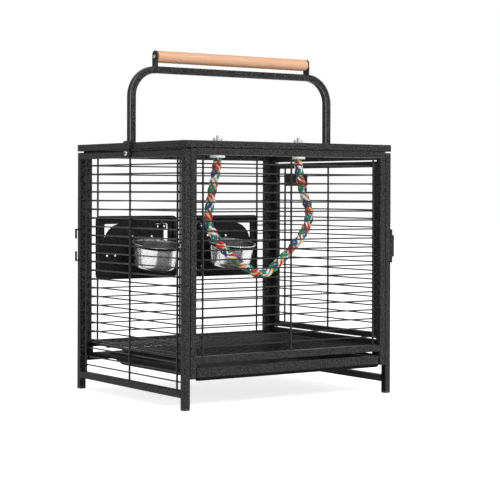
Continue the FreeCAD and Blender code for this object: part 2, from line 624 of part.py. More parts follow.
# Door in the right side: a tube frame on two pins, with wires, stays and a blank plate.
DOOR_X = "(body_width / 2 - door_tube)"
DOOR_LOW = "(sill_height + tube + door_gap)"
DOOR_TOP = f"({SIDE_TUBE_LOW} - door_gap)"
DOOR_TALL = f"({DOOR_TOP} - {DOOR_LOW})"
HINGE_EDGE = "(body_depth / 2 - tube - door_hinge_gap - door_tube)"
LATCH_EDGE = "(body_depth / 2 - tube - door_latch_gap)"
HINGE_X = "(body_width / 2 - door_tube / 2)"
HINGE_Y = f"({HINGE_EDGE} + door_tube / 2)"
door_round = mm["tube_round"]
stile_span = ("door_tube", "door_tube", DOOR_TALL)
hinge_stile = rounded_box("hinge_stile_bar", (DOOR_X, HINGE_EDGE, DOOR_LOW), stile_span, "z", door_round)
bores = []
for name, bore_z in (("low", DOOR_LOW), ("top", f"{DOOR_TOP} - hinge_depth - door_gap")):
    bore_at = (HINGE_X, HINGE_Y, bore_z)
    bores.append(rod("hinge_bore_" + name, bore_at, "z", "hinge_pin / 2 + hinge_fit", "hinge_depth + door_gap"))
keep(cut("hinge_stile_bored", hinge_stile, group("hinge_bores", bores)), "door_hinge_stile")
stile_span = ("door_tube", "door_latch_width", DOOR_TALL)
latch_stile = rounded_box("latch_stile_bar", (DOOR_X, "-" + LATCH_EDGE, DOOR_LOW), stile_span, "z", door_round)
keep(latch_stile, "door_latch_stile")
DOOR_START = f"(door_latch_width - {LATCH_EDGE})"
DOOR_SPAN = f"({HINGE_EDGE} - {DOOR_START})"
door_rails = []
for name, height in (("low", DOOR_LOW), ("top", f"{DOOR_TOP} - door_tube")):
    low = (DOOR_X, DOOR_START, height)
    span = ("door_tube", DOOR_SPAN, "door_tube")
    door_rails.append(rounded_box(f"door_rail_{name}", low, span, "y", door_round))
keep(group("door_rail_group", door_rails), "door_rails")
door_bars = []
latch_stay = f"({DOOR_START} + door_stay_gap)"
hinge_stay = f"({HINGE_EDGE} - door_stay_margin)"
for step, stay_y in enumerate((latch_stay, f"({latch_stay} + {hinge_stay}) / 2", hinge_stay)):
    start = ("body_width / 2 - stay_inset", stay_y, f"{DOOR_LOW} + door_tube")
    door_bars.append(rod(f"door_stay_{step}", start, "z", "stay / 2", f"{DOOR_TALL} - 2 * door_tube"))
door_low = mm["sill_height"] + mm["tube"] + mm["door_gap"] + mm["door_tube"]
door_top = side_tube_low - mm["door_gap"] - mm["door_tube"]
for step in wire_levels(door_low, door_top, "side_wire_pitch"):
    start = (f"body_width / 2 - {WIRE_INSET}", DOOR_START, wire_height(step, "side_wire_pitch"))
    door_bars.append(rod(f"door_wire_{step}", start, "y", "wire / 2", DOOR_SPAN))
keep(group("door_panel", door_bars), "door_wire_panel")
plate_x = f"body_width / 2 - {WIRE_INSET} - wire / 2 - plate_seat - name_plate_thick"
plate_span = ("name_plate_thick", "name_plate_long", "name_plate_tall")
plate_y = f"{HINGE_EDGE} - name_plate_gap - name_plate_long"
plate_low = (plate_x, plate_y, "body_height - name_plate_drop")
keep(rounded_box("blank_plate", plate_low, plate_span, "x", mm["tube_round"]), "door_plate")
pins = []
collar_tall = "(door_gap - hinge_seat)"
for name, pin_z, collar_z in (
    ("low", "sill_height + tube", "sill_height + tube"),
    ("top", f"{DOOR_TOP} - hinge_depth", f"{DOOR_TOP} + hinge_seat"),
):
    pin = rod(f"hinge_pin_{name}", (HINGE_X, HINGE_Y, pin_z), "z", "hinge_pin / 2", "hinge_depth + door_gap")
    collar = rod(f"hinge_collar_{name}", (HINGE_X, HINGE_Y, collar_z), "z", "hinge_collar / 2", collar_tall)
    pins.append(fuse(f"hinge_{name}", [pin, collar]))
keep(group("hinge_group", pins), "door_hinge_pins")

# Feeders in the back wall: a plate with a window, and a flap that swings out with its bowl.
PLATE_IN = "(body_depth / 2 - stay_inset + stay / 2 + weld)"
PLATE_OUT = f"({PLATE_IN} + feeder_sheet)"
FEEDER_LOW = "(body_height - feeder_drop)"
WINDOW_LOW = f"({FEEDER_LOW} + window_low)"
WINDOW_TOP = f"({FEEDER_LOW} + feeder_tall - window_top)"
FLAP_NEAR = f"({WINDOW_NEAR} + flap_inner_gap)"
FLAP_LONG = f"({WINDOW_FAR} - flap_gap - {FLAP_NEAR})"
FLAP_LOW = f"({WINDOW_LOW} + flap_gap)"
FLAP_TALL = f"({WINDOW_TOP} - {WINDOW_LOW} - 2 * flap_gap)"
FLAP_IN = f"({PLATE_OUT} - (feeder_sheet + flap_sheet) / 2)"
PIVOT_X = f"({FLAP_NEAR} + pivot_inset)"
PIVOT_Y = f"({PLATE_IN} - knuckle_dia / 2 - pivot_seat)"
BOWL_Y = f"({FLAP_IN} - bowl_reach)"
RING_OUT = "(bowl_dia / 2 - ring_under_lip)"
RING_IN = "(bowl_dia / 2 - ring_under_lip - ring_wall)"
RING_LOW = f"({FEEDER_LOW} + ring_lift)"
STOP_LOW = f"({FEEDER_LOW} + flap_stop_lift)"
LIP_LOW = f"({RING_LOW} + ring_tall + bowl_seat)"
LIP_TOP = f"({LIP_LOW} + bowl_lip)"
EAR_TOP_LOW = WINDOW_TOP
KNUCKLE_LOW = f"({WINDOW_LOW} + pivot_seat)"
KNUCKLE_TOP = f"({WINDOW_TOP} - pivot_seat - knuckle_tall)"
LEAF_LOW = {"low": FLAP_LOW, "top": f"({FLAP_LOW} + {FLAP_TALL} - hinge_leaf_tall)"}

# Ring and bowl dip about the line where the ring's arm meets its plate.
flap_in = mm["body_depth"] / 2 - mm["stay_inset"] + mm["stay"] / 2 + mm["weld"]
flap_in = flap_in + (mm["feeder_sheet"] - mm["flap_sheet"]) / 2
dip_height = feeder_low + mm["ring_lift"] + mm["ring_tall"] / 2
dip_line = FreeCAD.Vector(0, flap_in - mm["ring_plate_thick"], dip_height)
bowl_dip = FreeCAD.Placement(
    FreeCAD.Vector(),
    FreeCAD.Rotation(FreeCAD.Vector(1, 0, 0), mm["bowl_tilt"]),
    dip_line,
)

for side_name, side in SIDES:
    plate_low = (mirrored(side, FEEDER_INNER, FEEDER_LONG), PLATE_IN, FEEDER_LOW)
    plate_span = (FEEDER_LONG, "feeder_sheet", "feeder_tall")
    sheet_plate = rounded_box(f"feeder_sheet_{side_name}", plate_low, plate_span, "y", mm["feeder_round"])
    tab_low = f"(body_depth / 2 - {WIRE_INSET} + wire / 2 + weld)"
    tab_x = mirrored(side, f"({FEEDER_INNER} + plate_tab_inset)", "plate_tab")
    tab_deep = f"{PLATE_IN} + feeder_sheet / 2 - {tab_low}"
    tab_span = ("plate_tab", tab_deep, "feeder_tall - 2 * plate_tab_margin")
    tab = box(f"feeder_tab_{side_name}", (tab_x, tab_low, FEEDER_LOW + " + plate_tab_margin"), tab_span)
    plate = fuse(f"feeder_folded_{side_name}", [sheet_plate, tab])
    window_long = f"({WINDOW_FAR} - {WINDOW_NEAR})"
    window_at = (mirrored(side, WINDOW_NEAR, window_long), PLATE_IN, WINDOW_LOW)
    window_span = (window_long, "feeder_sheet", f"{WINDOW_TOP} - {WINDOW_LOW}")
    window = rounded_box(f"feeder_window_{side_name}", window_at, window_span, "y", mm["window_round"])
    keep(cut(f"feeder_plate_cut_{side_name}", plate, window), f"feeder_plate_{side_name}")

    pivot_x = f"{side} * {PIVOT_X}"
    ears = []
    ear_deep = f"({PLATE_IN} - {PIVOT_Y} + knuckle_dia / 2)"
    for name, ear_z, pin_z in (
        ("low", f"{WINDOW_LOW} - ear_tall", WINDOW_LOW),
        ("top", EAR_TOP_LOW, KNUCKLE_TOP),
    ):
        ear_at = (f"{pivot_x} - ear_width / 2", f"{PIVOT_Y} - knuckle_dia / 2", ear_z)
        ear = box(f"ear_{name}_{side_name}", ear_at, ("ear_width", ear_deep, "ear_tall"))
        pin_at = (pivot_x, PIVOT_Y, pin_z)
        pin = rod(f"pivot_{name}_{side_name}", pin_at, "z", "pivot_dia / 2", "knuckle_tall + pivot_seat")
        ears.append(fuse(f"pivot_ear_{name}_{side_name}", [ear, pin]))
    keep(group(f"pivot_ears_{side_name}", ears), f"feeder_pivots_{side_name}")

    flap_at = (mirrored(side, FLAP_NEAR, FLAP_LONG), FLAP_IN, FLAP_LOW)
    panel = box(f"flap_panel_{side_name}", flap_at, (FLAP_LONG, "flap_sheet", FLAP_TALL))
    small = mm["flap_small_round"]
    corners = {edge: small for edge in box_edges("y")}
    corners.update({edge: mm["flap_round"] for edge in box_edges("y", x=side, z=1)})
    solids = [rounded(panel, f"flap_sheet_{side_name}", corners)]
    bores = []
    for name, height in (("low", KNUCKLE_LOW), ("top", KNUCKLE_TOP)):
        centre = (pivot_x, PIVOT_Y, height)
        solids.append(rod(f"knuckle_{name}_{side_name}", centre, "z", "knuckle_dia / 2", "knuckle_tall"))
        web_at = (f"{pivot_x} - knuckle_dia / 4", PIVOT_Y, height)
        web_span = ("knuckle_dia / 2", f"{FLAP_IN} + flap_sheet / 2 - {PIVOT_Y}", "knuckle_tall")
        solids.append(box(f"knuckle_web_{name}_{side_name}", web_at, web_span))
        leaf_at = (f"{pivot_x} - hinge_leaf_long / 2", f"{FLAP_IN} - hinge_leaf_thick", LEAF_LOW[name])
        leaf_span = ("hinge_leaf_long", "hinge_leaf_thick + flap_sheet / 2", "hinge_leaf_tall")
        solids.append(box(f"hinge_leaf_{name}_{side_name}", leaf_at, leaf_span))
        bore_name = f"knuckle_bore_{name}_{side_name}"
        bores.append(rod(bore_name, centre, "z", "pivot_dia / 2 + pivot_fit", "knuckle_tall"))
    stop_near = f"({WINDOW_FAR} + flap_stop_over - flap_stop_long)"
    stop_x = mirrored(side, stop_near, "flap_stop_long")
    stop_low = (stop_x, f"{PLATE_OUT} + flap_stop_gap", STOP_LOW)
    stop_span = ("flap_stop_long", "flap_stop_sheet", "flap_stop_tall")
    stop_sheet = box(f"flap_stop_sheet_{side_name}", stop_low, stop_span)
    seat_long = "(flap_stop_long - flap_stop_over - 2 * flap_gap)"
    seat_low = (mirrored(side, stop_near, seat_long), f"{FLAP_IN} + flap_sheet / 2", STOP_LOW)
    seat_span = (seat_long, f"{PLATE_OUT} - {FLAP_IN}", "flap_stop_tall")
    stop_seat = box(f"flap_stop_seat_{side_name}", seat_low, seat_span)
    solids.extend([stop_sheet, stop_seat])
    flap = fuse(f"flap_{side_name}", solids)
    flap_bores = group(f"flap_bores_{side_name}", bores)
    keep(cut(f"flap_bored_{side_name}", flap, flap_bores), f"feeder_flap_{side_name}")

    bowl_x = f"{side} * ({PIVOT_X} + bowl_side)"
    centre = (bowl_x, BOWL_Y, RING_LOW)
    band = cut(
        f"ring_band_{side_name}",
        rod(f"ring_outer_{side_name}", centre, "z", RING_OUT, "ring_tall"),
        rod(f"ring_inner_{side_name}", centre, "z", RING_IN, "ring_tall"),
    )
    holder_y = f"{FLAP_IN} - ring_plate_thick"
    holder_at = (f"{bowl_x} - ring_plate_long / 2", holder_y, RING_LOW)
    holder_span = ("ring_plate_long", "ring_plate_thick", "ring_plate_tall")
    holder = box(f"ring_plate_{side_name}", holder_at, holder_span)
    arm_start = f"({BOWL_Y} + {RING_IN} + ring_wall / 3)"
    arm_at = (f"{bowl_x} - ring_arm / 2", arm_start, RING_LOW)
    arm_long = f"{holder_y} + ring_plate_thick / 2 - {arm_start}"
    arm = box(f"ring_arm_{side_name}", arm_at, ("ring_arm", arm_long, "ring_tall"))
    dipped = fuse(f"ring_dipped_{side_name}", [band, arm])
    dipped.Placement = bowl_dip
    keep(fuse(f"ring_{side_name}", [dipped, holder]), f"bowl_ring_{side_name}")

    heads = []
    for number in (-1, 1):
        screw_at = (
            f"{bowl_x} + {number} * ring_screw_apart / 2",
            f"{holder_y} - rivet_high",
            RING_LOW + " + ring_screw_lift",
        )
        head_name = f"ring_screw_{side_name}_{number + 1}"
        heads.append(rod(head_name, screw_at, "y", "rivet_dia / 2", "rivet_high"))
        rivet_x = f"{side} * ({stop_near} + {seat_long} / 2) + {number} * rivet_apart / 2"
        rivet_at = (rivet_x, f"{FLAP_IN} - rivet_high", STOP_LOW + " + flap_stop_tall / 2")
        head_name = f"stop_rivet_{side_name}_{number + 1}"
        heads.append(rod(head_name, rivet_at, "y", "rivet_dia / 2", "rivet_high"))
        for name, leaf_low in LEAF_LOW.items():
            leaf_screw = (
                f"{pivot_x} + {number} * hinge_screw_apart / 2",
                f"{FLAP_IN} - hinge_leaf_thick - rivet_high",
                f"{leaf_low} + hinge_leaf_tall / 2",
            )
            head_name = f"hinge_screw_{name}_{side_name}_{number + 1}"
            heads.append(rod(head_name, leaf_screw, "y", "rivet_dia / 2", "rivet_high"))
    keep(group(f"feeder_heads_{side_name}", heads), f"feeder_fasteners_{side_name}")

    # Bowl: a tapered cup with a rounded bottom, open at the top, hung by its lip.
    bowl_low = f"({LIP_TOP} - bowl_deep)"
    body_top = f"({RING_IN} - bowl_seat)"
    cup = primitive(
        "Cone",
        f"bowl_cup_{side_name}",
        (bowl_x, BOWL_Y, bowl_low),
        Radius1="bowl_foot / 2",
        Radius2=body_top,
        Height="bowl_deep",
    )
    hollow = primitive(
        "Cone",
        f"bowl_hollow_{side_name}",
        (bowl_x, BOWL_Y, f"{bowl_low} + bowl_wall"),
        Radius1="bowl_foot / 2 - bowl_wall",
        Radius2=f"{body_top} - bowl_wall",
        Height="bowl_deep",
    )
    lip = rod(f"bowl_lip_{side_name}", (bowl_x, BOWL_Y, LIP_LOW), "z", "bowl_dia / 2", "bowl_lip")
    low_edges = round_edges(Part.makeCone(1, 2, 1), z=-1)
    bottom = rounded(cup, f"bowl_bottom_{side_name}", {edge: mm["bowl_round"] for edge in low_edges})
    inner_round = mm["bowl_round"] - mm["bowl_wall"]
    inside = rounded(hollow, f"bowl_inside_{side_name}", {edge: inner_round for edge in low_edges})
    full = fuse(f"bowl_full_{side_name}", [bottom, lip])
    bowl = keep(cut(f"bowl_body_{side_name}", full, inside), f"feeder_bowl_{side_name}")
    bowl.Placement = bowl_dip

# Tray: a pan with sloped walls, the back one longest, a flange on the runners and a bar across its front.
TRAY_HALF = "(body_width / 2 - 2 * tube - tray_side_gap)"
FLANGE_LOW = "(runner_height + runner_sheet + slide_seat)"
FLANGE_TOP = f"({FLANGE_LOW} + tray_sheet)"
TRAY_FRONT = "(body_depth / 2 - tray_bar_deep)"
TRAY_BACK = f"({INNER_DEPTH} - slide_seat)"


def pan_block(name, inset, low, corner, edge):
    """Tapered block with rounded corners and bottom edges, wider at the top."""
    item = doc.addObject("Part::Wedge", name)
    item.Placement = FreeCAD.Placement(FreeCAD.Vector(), FreeCAD.Rotation(FreeCAD.Vector(1, 0, 0), 90))
    half = f"({TRAY_HALF} - tray_flange - {inset})"
    front = f"({TRAY_FRONT} - tray_front_flange - {inset})"
    back = f"({TRAY_BACK} - tray_back_flange - 2 * {inset})"
    limits = {
        "Ymin": low,
        "Ymax": FLANGE_TOP,
        "Xmin": f"tray_taper - {half}",
        "Xmax": f"{half} - tray_taper",
        "Zmin": f"tray_back_taper - {back}",
        "Zmax": f"{front} - tray_taper",
        "X2min": f"-{half}",
        "X2max": half,
        "Z2min": f"-{back}",
        "Z2max": front,
    }
    for prop, text in limits.items():
        item.setExpression(prop, bind(text))
    doc.recompute()
    radii = {}
    bottom = item.Shape.BoundBox.ZMin
    for number, line in enumerate(item.Shape.Edges, start=1):
        heights = sorted(vertex.Z for vertex in line.Vertexes)
        if heights[1] - heights[0] > 1:
            radii[number] = corner
        elif heights[1] - bottom < 1:
            radii[number] = edge
    return rounded(item, name + "_round", radii)


outer_pan = pan_block("pan_outer", "0", f"({FLANGE_TOP} - tray_deep)", mm["tray_corner"], mm["tray_round"])
inner_pan = pan_block(
    "pan_inner",
    "tray_sheet",
    f"({FLANGE_TOP} - tray_deep + tray_sheet)",
    mm["tray_corner"] - mm["tray_sheet"],
    mm["tray_round"] - mm["tray_sheet"],
)
flange_at = ("-" + TRAY_HALF, "-" + TRAY_FRONT, FLANGE_LOW)
flange_span = ("2 * " + TRAY_HALF, f"{TRAY_FRONT} + {TRAY_BACK}", "tray_sheet")
flange = rounded_box("pan_flange", flange_at, flange_span, "z", mm["flange_round"])
keep(cut("pan_body", fuse("pan_full", [outer_pan, flange]), inner_pan), "tray_pan")
bar_low = ("-" + TRAY_HALF, "-" + HALF_DEPTH, "tray_bar_height")
bar_span = ("2 * " + TRAY_HALF, "tray_bar_deep", "tray_bar_tall")
bar_core = box("tray_bar_core", bar_low, bar_span)
bar_edges = {edge: mm["tube_round"] for edge in box_edges("x", z=1)}
for along, y, z in (("x", -1, -1), ("y", 0, -1), ("z", -1, 0)):
    bar_edges.update({edge: mm["tray_bar_round"] for edge in box_edges(along, y=y, z=z)})
keep(rounded(bar_core, "tray_bar_body", bar_edges), "tray_front_bar")

# Floor grate: an outer rod frame on the runners' ledges, close wires front to back and stays below them.
GRATE_Z = "(runner_height + runner_tall + slide_seat + grate_rod / 2)"
GRATE_X = f"({INNER_WIDTH} - runner_gap - runner_sheet - grate_side_gap - grate_rod / 2)"
GRATE_Y = f"({INNER_DEPTH} - grate_end_gap - grate_rod / 2)"
GRATE_SPAN = f"2 * {GRATE_X} - grate_rod - 2 * weld"
grate_bars = []
for number in (-1, 1):
    side_start = (f"{number} * {GRATE_X}", f"-({GRATE_Y} + grate_rod / 2)", GRATE_Z)
    side_long = f"2 * {GRATE_Y} + grate_rod"
    grate_bars.append(rod(f"grate_side_{number + 1}", side_start, "y", "grate_rod / 2", side_long))
    end_start = (f"grate_rod / 2 + weld - {GRATE_X}", f"{number} * {GRATE_Y}", GRATE_Z)
    grate_bars.append(rod(f"grate_end_{number + 1}", end_start, "x", "grate_rod / 2", GRATE_SPAN))
grate_x = mm["body_width"] / 2 - mm["tube"] - mm["runner_gap"] - mm["runner_sheet"] - mm["grate_side_gap"]
cross_count = int((grate_x - mm["grate_rod"] - mm["grate_wire"]) / mm["grate_pitch"])
cross_long = f"2 * {GRATE_Y} - grate_rod - 2 * weld"
for step in range(-cross_count, cross_count + 1):
    start = (f"{step} * grate_pitch", f"grate_rod / 2 + weld - {GRATE_Y}", GRATE_Z)
    grate_bars.append(rod(f"grate_wire_{step + cross_count}", start, "y", "grate_wire / 2", cross_long))
for step in range(int(mm["grate_stays"])):
    stay_y = f"({step} - (grate_stays - 1) / 2) * 2 * {GRATE_Y} / (grate_stays + 1)"
    start = (f"grate_rod / 2 + weld - {GRATE_X}", stay_y, f"{GRATE_Z} - (grate_wire + stay) / 2 - weld")
    grate_bars.append(rod(f"grate_stay_{step}", start, "x", "stay / 2", GRATE_SPAN))
keep(group("grate_group", grate_bars), "floor_grate")

# Rope perch: a hanging rope between two discs that are bolted through the roof wires.
ROPE_END = "(body_height - rope_end_drop)"
HUB_TOP = f"({ROOF_WIRE} - wire / 2 - plate_seat)"
WASHER_LOW = f"({ROOF_WIRE} + wire / 2 + plate_seat)"
NUT_LOW = f"({WASHER_LOW} + washer_thick + nut_gap)"
discs = []
rope_bolts = []
washers = []
ROPE_ENDS = (("left", "-rope_left_count * wire_pitch"), ("right", "rope_right_count * wire_pitch"))
for side_name, end_x in ROPE_ENDS:

    def at(height):
        return (end_x, "-rope_side", height)

    disc = rod(f"disc_{side_name}", at(ROPE_END), "z", "disc_dia / 2", "disc_thick")
    hub_tall = f"{HUB_TOP} - {ROPE_END}"
    hub = rod(f"disc_hub_{side_name}", at(ROPE_END), "z", "disc_hub / 2", hub_tall)
    bore = rod(f"disc_bore_{side_name}", at(ROPE_END), "z", "rope_bolt / 2 + bolt_fit", hub_tall)
    discs.append(cut(f"rope_disc_{side_name}", fuse(f"disc_full_{side_name}", [disc, hub]), bore))
    bolt_long = f"body_height + rope_bolt_over - {ROPE_END}"
    rope_bolts.append(rod(f"rope_bolt_{side_name}", at(ROPE_END), "z", "rope_bolt / 2", bolt_long))
    ring = rod(f"washer_ring_{side_name}", at(WASHER_LOW), "z", "washer_dia / 2", "washer_thick")
    eye = rod(f"washer_eye_{side_name}", at(WASHER_LOW), "z", "rope_bolt / 2 + bolt_fit", "washer_thick")
    washers.append(cut(f"rope_washer_{side_name}", ring, eye))
    body = rod(f"nut_body_{side_name}", at(NUT_LOW), "z", "nut_dia / 2", "nut_tall")
    wings = [body]
    for number in (-1, 1):
        wing_x = f"{end_x} + rope_bolt / 2 + 1" if number > 0 else f"{end_x} - nut_span / 2"
        wing_at = (wing_x, "-rope_side - nut_wing_thick / 2", NUT_LOW + " + nut_tall / 4")
        wing_span = ("nut_span / 2 - rope_bolt / 2 - 1", "nut_wing_thick", "nut_tall * 3 / 4 + nut_wing_tall")
        wing = box(f"nut_wing_core_{side_name}_{number + 1}", wing_at, wing_span)
        outer = {edge: mm["nut_wing_tall"] / 4 for edge in box_edges("y", x=number)}
        wings.append(rounded(wing, f"nut_wing_{side_name}_{number + 1}", outer))
    thread = rod(f"nut_bore_{side_name}", at(NUT_LOW), "z", "rope_bolt / 2 + bolt_fit", "nut_tall")
    full = fuse(f"nut_full_{side_name}", wings)
    keep(cut(f"wing_nut_body_{side_name}", full, thread), f"wing_nut_{side_name}")
keep(group("disc_group", discs), "rope_discs")
keep(group("rope_bolt_group", rope_bolts), "rope_bolts")
keep(group("washer_group", washers), "rope_washers")


def rope_shape():
    """Round rope along straight runs joined by arcs as large as the runs allow."""
    end = mm["body_height"] - mm["rope_end_drop"]
    first = (-mm["rope_left_count"] * mm["wire_pitch"], end)
    last = (mm["rope_right_count"] * mm["wire_pitch"], end)
    route = [FreeCAD.Vector(x, -mm["rope_side"], z) for x, z in (first,) + ROPE_POINTS + (last,)]
    edges = []
    radii = []
    here = route[0]
    for before, corner, after in zip(route, route[1:], route[2:]):
        come = corner - before
        leave = after - corner
        reach = ARC_SHARE * min(come.Length, leave.Length)
        turn = come.getAngle(leave)
        come.normalize()
        leave.normalize()
        radius = reach / math.tan(turn / 2)
        radii.append(radius)
        start = corner - come * reach
        finish = corner + leave * reach
        inward = leave - come
        inward.normalize()
        hub = corner + inward * math.hypot(reach, radius)
        edges.append(Part.LineSegment(here, start).toShape())
        edges.append(Part.Arc(start, hub - inward * radius, finish).toShape())
        here = finish
    edges.append(Part.LineSegment(here, route[-1]).toShape())
    path = Part.Wire(edges)
    heading = route[1] - route[0]
    circle = Part.Wire([Part.Circle(route[0], heading, mm["rope_dia"] / 2).toShape()])
    solid = path.makePipeShell([circle], True, False)
    section = math.pi * mm["rope_dia"] ** 2 / 4
    print("rope radii", [round(radius, 1) for radius in radii])
    share = solid.Volume / section / path.Length
    print("rope length", round(path.Length, 1), "volume share", round(share, 4))
    wide = mm["body_width"]
    level = Part.makeBox(2 * wide, 2 * wide, wide, FreeCAD.Vector(-wide, -wide, end))
    return solid.cut(level)


rope = doc.addObject("Part::Feature", "rope_tube")
rope.Shape = rope_shape()
keep(rope, "rope_perch")

doc.recompute()
broken = [item.Name for item in doc.Objects if "Invalid" in item.State or "Error" in item.State]
for item in parts:
    if item.Shape.isNull() or not item.Shape.isValid() or not item.Shape.Solids:
        broken.append(item.Label)
if broken:
    raise RuntimeError("objects that failed: " + ", ".join(broken))

os.makedirs("parts", exist_ok=True)
for item in parts:
    item.Shape.exportStep(os.path.join("parts", item.Label + ".step"))
print(len(parts), "sub-parts,", sum(len(item.Shape.Solids) for item in parts), "solids")
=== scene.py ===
"""Looks of the parrot travel cage, in metres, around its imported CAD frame.

New pieces are surfaces worked out as whole numpy arrays. Finishes are shader graphs written as expressions.
"""
import json
import math

import bpy
import numpy as np
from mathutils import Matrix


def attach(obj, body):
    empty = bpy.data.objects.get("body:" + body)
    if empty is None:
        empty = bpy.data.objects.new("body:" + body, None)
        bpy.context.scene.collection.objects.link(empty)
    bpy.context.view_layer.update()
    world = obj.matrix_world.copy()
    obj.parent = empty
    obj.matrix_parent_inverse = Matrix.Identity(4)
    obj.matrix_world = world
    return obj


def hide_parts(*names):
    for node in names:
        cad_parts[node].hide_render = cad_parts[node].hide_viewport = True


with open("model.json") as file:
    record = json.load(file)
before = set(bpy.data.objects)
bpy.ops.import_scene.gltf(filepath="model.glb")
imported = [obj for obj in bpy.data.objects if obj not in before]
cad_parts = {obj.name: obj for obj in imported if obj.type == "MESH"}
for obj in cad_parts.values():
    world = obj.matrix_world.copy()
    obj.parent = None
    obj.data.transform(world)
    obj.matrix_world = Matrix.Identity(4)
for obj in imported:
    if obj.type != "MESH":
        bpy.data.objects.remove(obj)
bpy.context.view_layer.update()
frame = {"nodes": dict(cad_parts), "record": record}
nodes = frame["nodes"]
TURN = 2 * math.pi
SIDES = (("left", -1), ("right", 1))
AXIS_X = 0
AXIS_Y = 1
AXIS_Z = 2

# Distances of the corner posts from the middle
POST_X = 0.22365
POST_Y = 0.18665


# Shader graphs

class Value:
    """A shader socket that can stand in a Python expression."""

    def __init__(self, finish, socket):
        self.finish = finish
        self.socket = socket

    def math(self, operation, other=0.0):
        return self.finish.node("Math", {"operation": operation}, self, other).out()

    def __add__(self, other):
        return self.math("ADD", other)

    def __radd__(self, other):
        return self.math("ADD", other)

    def __sub__(self, other):
        return self.math("SUBTRACT", other)

    def __rsub__(self, other):
        return self.finish.node("Math", {"operation": "SUBTRACT"}, other, self).out()

    def __mul__(self, other):
        return self.math("MULTIPLY", other)

    def __pow__(self, other):
        return self.math("POWER", other)

    def __mod__(self, other):
        return self.math("FLOORED_MODULO", other)

    def above(self, other):
        return self.math("GREATER_THAN", other)

    def larger(self, other):
        return self.math("MAXIMUM", other)

    def sine(self):
        return self.math("SINE")

    def absolute(self):
        return self.math("ABSOLUTE")

    def sign(self):
        return self.math("SIGN")

    def limited(self):
        """The value held between 0 and 1."""
        return self.finish.node("Clamp", {}, self).out()

    def ramp(self, low, high):
        """0 below low, 1 above high, and a straight rise between them."""
        return self.finish.node("MapRange", {"clamp": True}, self, low, high, 0.0, 1.0).out()


class Node:
    """A shader node whose outputs are read by name or number."""

    def __init__(self, finish, node):
        self.finish = finish
        self.node = node

    def out(self, key=0):
        return Value(self.finish, self.node.outputs[key])


# Numbers of the Mix node's sockets for colours
MIX_SHARE = 0
MIX_FIRST = 6
MIX_SECOND = 7
MIX_RESULT = 2


class Finish:
    """A node material, with a Principled shader at its end."""

    def __init__(self, name):
        self.material = bpy.data.materials.new(name)
        self.material.use_nodes = True
        self.tree = self.material.node_tree
        self.shader = self.tree.nodes["Principled BSDF"]

    def node(self, kind, settings, *values, **named):
        """Add a node of a kind, set its settings, then set or link its sockets."""
        node = self.tree.nodes.new("ShaderNode" + kind)
        for key, value in settings.items():
            setattr(node, key, value)
        for key, value in list(enumerate(values)) + list(named.items()):
            self.feed(node.inputs[key], value)
        return Node(self, node)

    def feed(self, socket, value):
        if isinstance(value, Value):
            self.tree.links.new(value.socket, socket)
        else:
            socket.default_value = value

    def place(self, scale=(1.0, 1.0, 1.0)):
        """Object coordinates, stretched by a scale."""
        point = self.node("TexCoord", {}).out("Object")
        return self.node("Mapping", {}, Vector=point, Scale=scale).out()

    def axes(self):
        """The object coordinates as three values."""
        split = self.node("SeparateXYZ", {}, self.node("TexCoord", {}).out("Object"))
        return split.out("X"), split.out("Y"), split.out("Z")

    def uv(self):
        """The piece's own two surface coordinates."""
        split = self.node("SeparateXYZ", {}, self.node("TexCoord", {}).out("UV"))
        return split.out("X"), split.out("Y")

    def noise(self, place, scale, detail=2.0, roughness=0.5):
        named = {"Vector": place, "Scale": scale, "Detail": detail, "Roughness": roughness}
        return self.node("TexNoise", {}, **named).out("Fac")

    def cells(self, place, scale):
        """Distance to the nearest of many scattered points, with soft borders."""
        return self.node("TexVoronoi", {"feature": "SMOOTH_F1"}, Vector=place, Scale=scale).out("Distance")

    def mix(self, share, first, second):
        """Blend of two colours by a share."""
        node = self.node("Mix", {"data_type": "RGBA"})
        self.feed(node.node.inputs[MIX_SHARE], share)
        self.feed(node.node.inputs[MIX_FIRST], first)
        self.feed(node.node.inputs[MIX_SECOND], second)
        return node.out(MIX_RESULT)

    def bump(self, height, strength, distance):
        node = self.node("Bump", {}, Strength=strength, Distance=distance, Height=height)
        self.set("Normal", node.out())

    def set(self, name, value):
        self.feed(self.shader.inputs[name], value)


def grey(level):
    return (level, level, level, 1.0)


def no_painted_highlight(finish):
    return 0.0


HANDLE_BEND = 0.05065
HANDLE_BAR_HEIGHT = 0.60315


def handle_painted_highlight(finish):
    """Painted highlight: a pale line along the front left edges of the handle's legs, up to the start of the
    bar.

    The tube's centre line is a rectangle whose upper corners are round. Only on the tube's front left edge do
    the distances to the left and to the front of that line add up to enough.
    """
    edge_start = 0.0112
    edge_full = 0.0118
    fade_start = 0.575
    fade_end = 0.602
    x, y, z = finish.axes()
    beside = (x.absolute() - (POST_X - HANDLE_BEND)).larger(0.0)
    over = (z - (HANDLE_BAR_HEIGHT - HANDLE_BEND)).larger(0.0)
    distance = (beside * beside + over * over) ** 0.5 - HANDLE_BEND
    patchy = finish.noise(finish.place(), scale=90.0).ramp(0.3, 0.6)
    edge = (0.0 - distance * x.sign() - y).ramp(edge_start, edge_full)
    return edge * (1 - z.ramp(fade_start, fade_end)) * (0.55 + patchy * 0.45)


def rail_painted_highlight(finish):
    """Painted highlight: a pale line along the lower edge of the front top rail."""
    edge_low = 0.4431
    edge_high = 0.4438
    strength = 0.4
    return (1 - finish.axes()[AXIS_Z].ramp(edge_low, edge_high)) * strength


def joint_shadow(finish, axis, low, high):
    """1 between two distances from the middle along an axis, with a soft start and end."""
    soft = 0.0004
    distance = finish.axes()[axis].absolute()
    return distance.ramp(low - soft, low + soft) * (1 - distance.ramp(high - soft, high + soft))


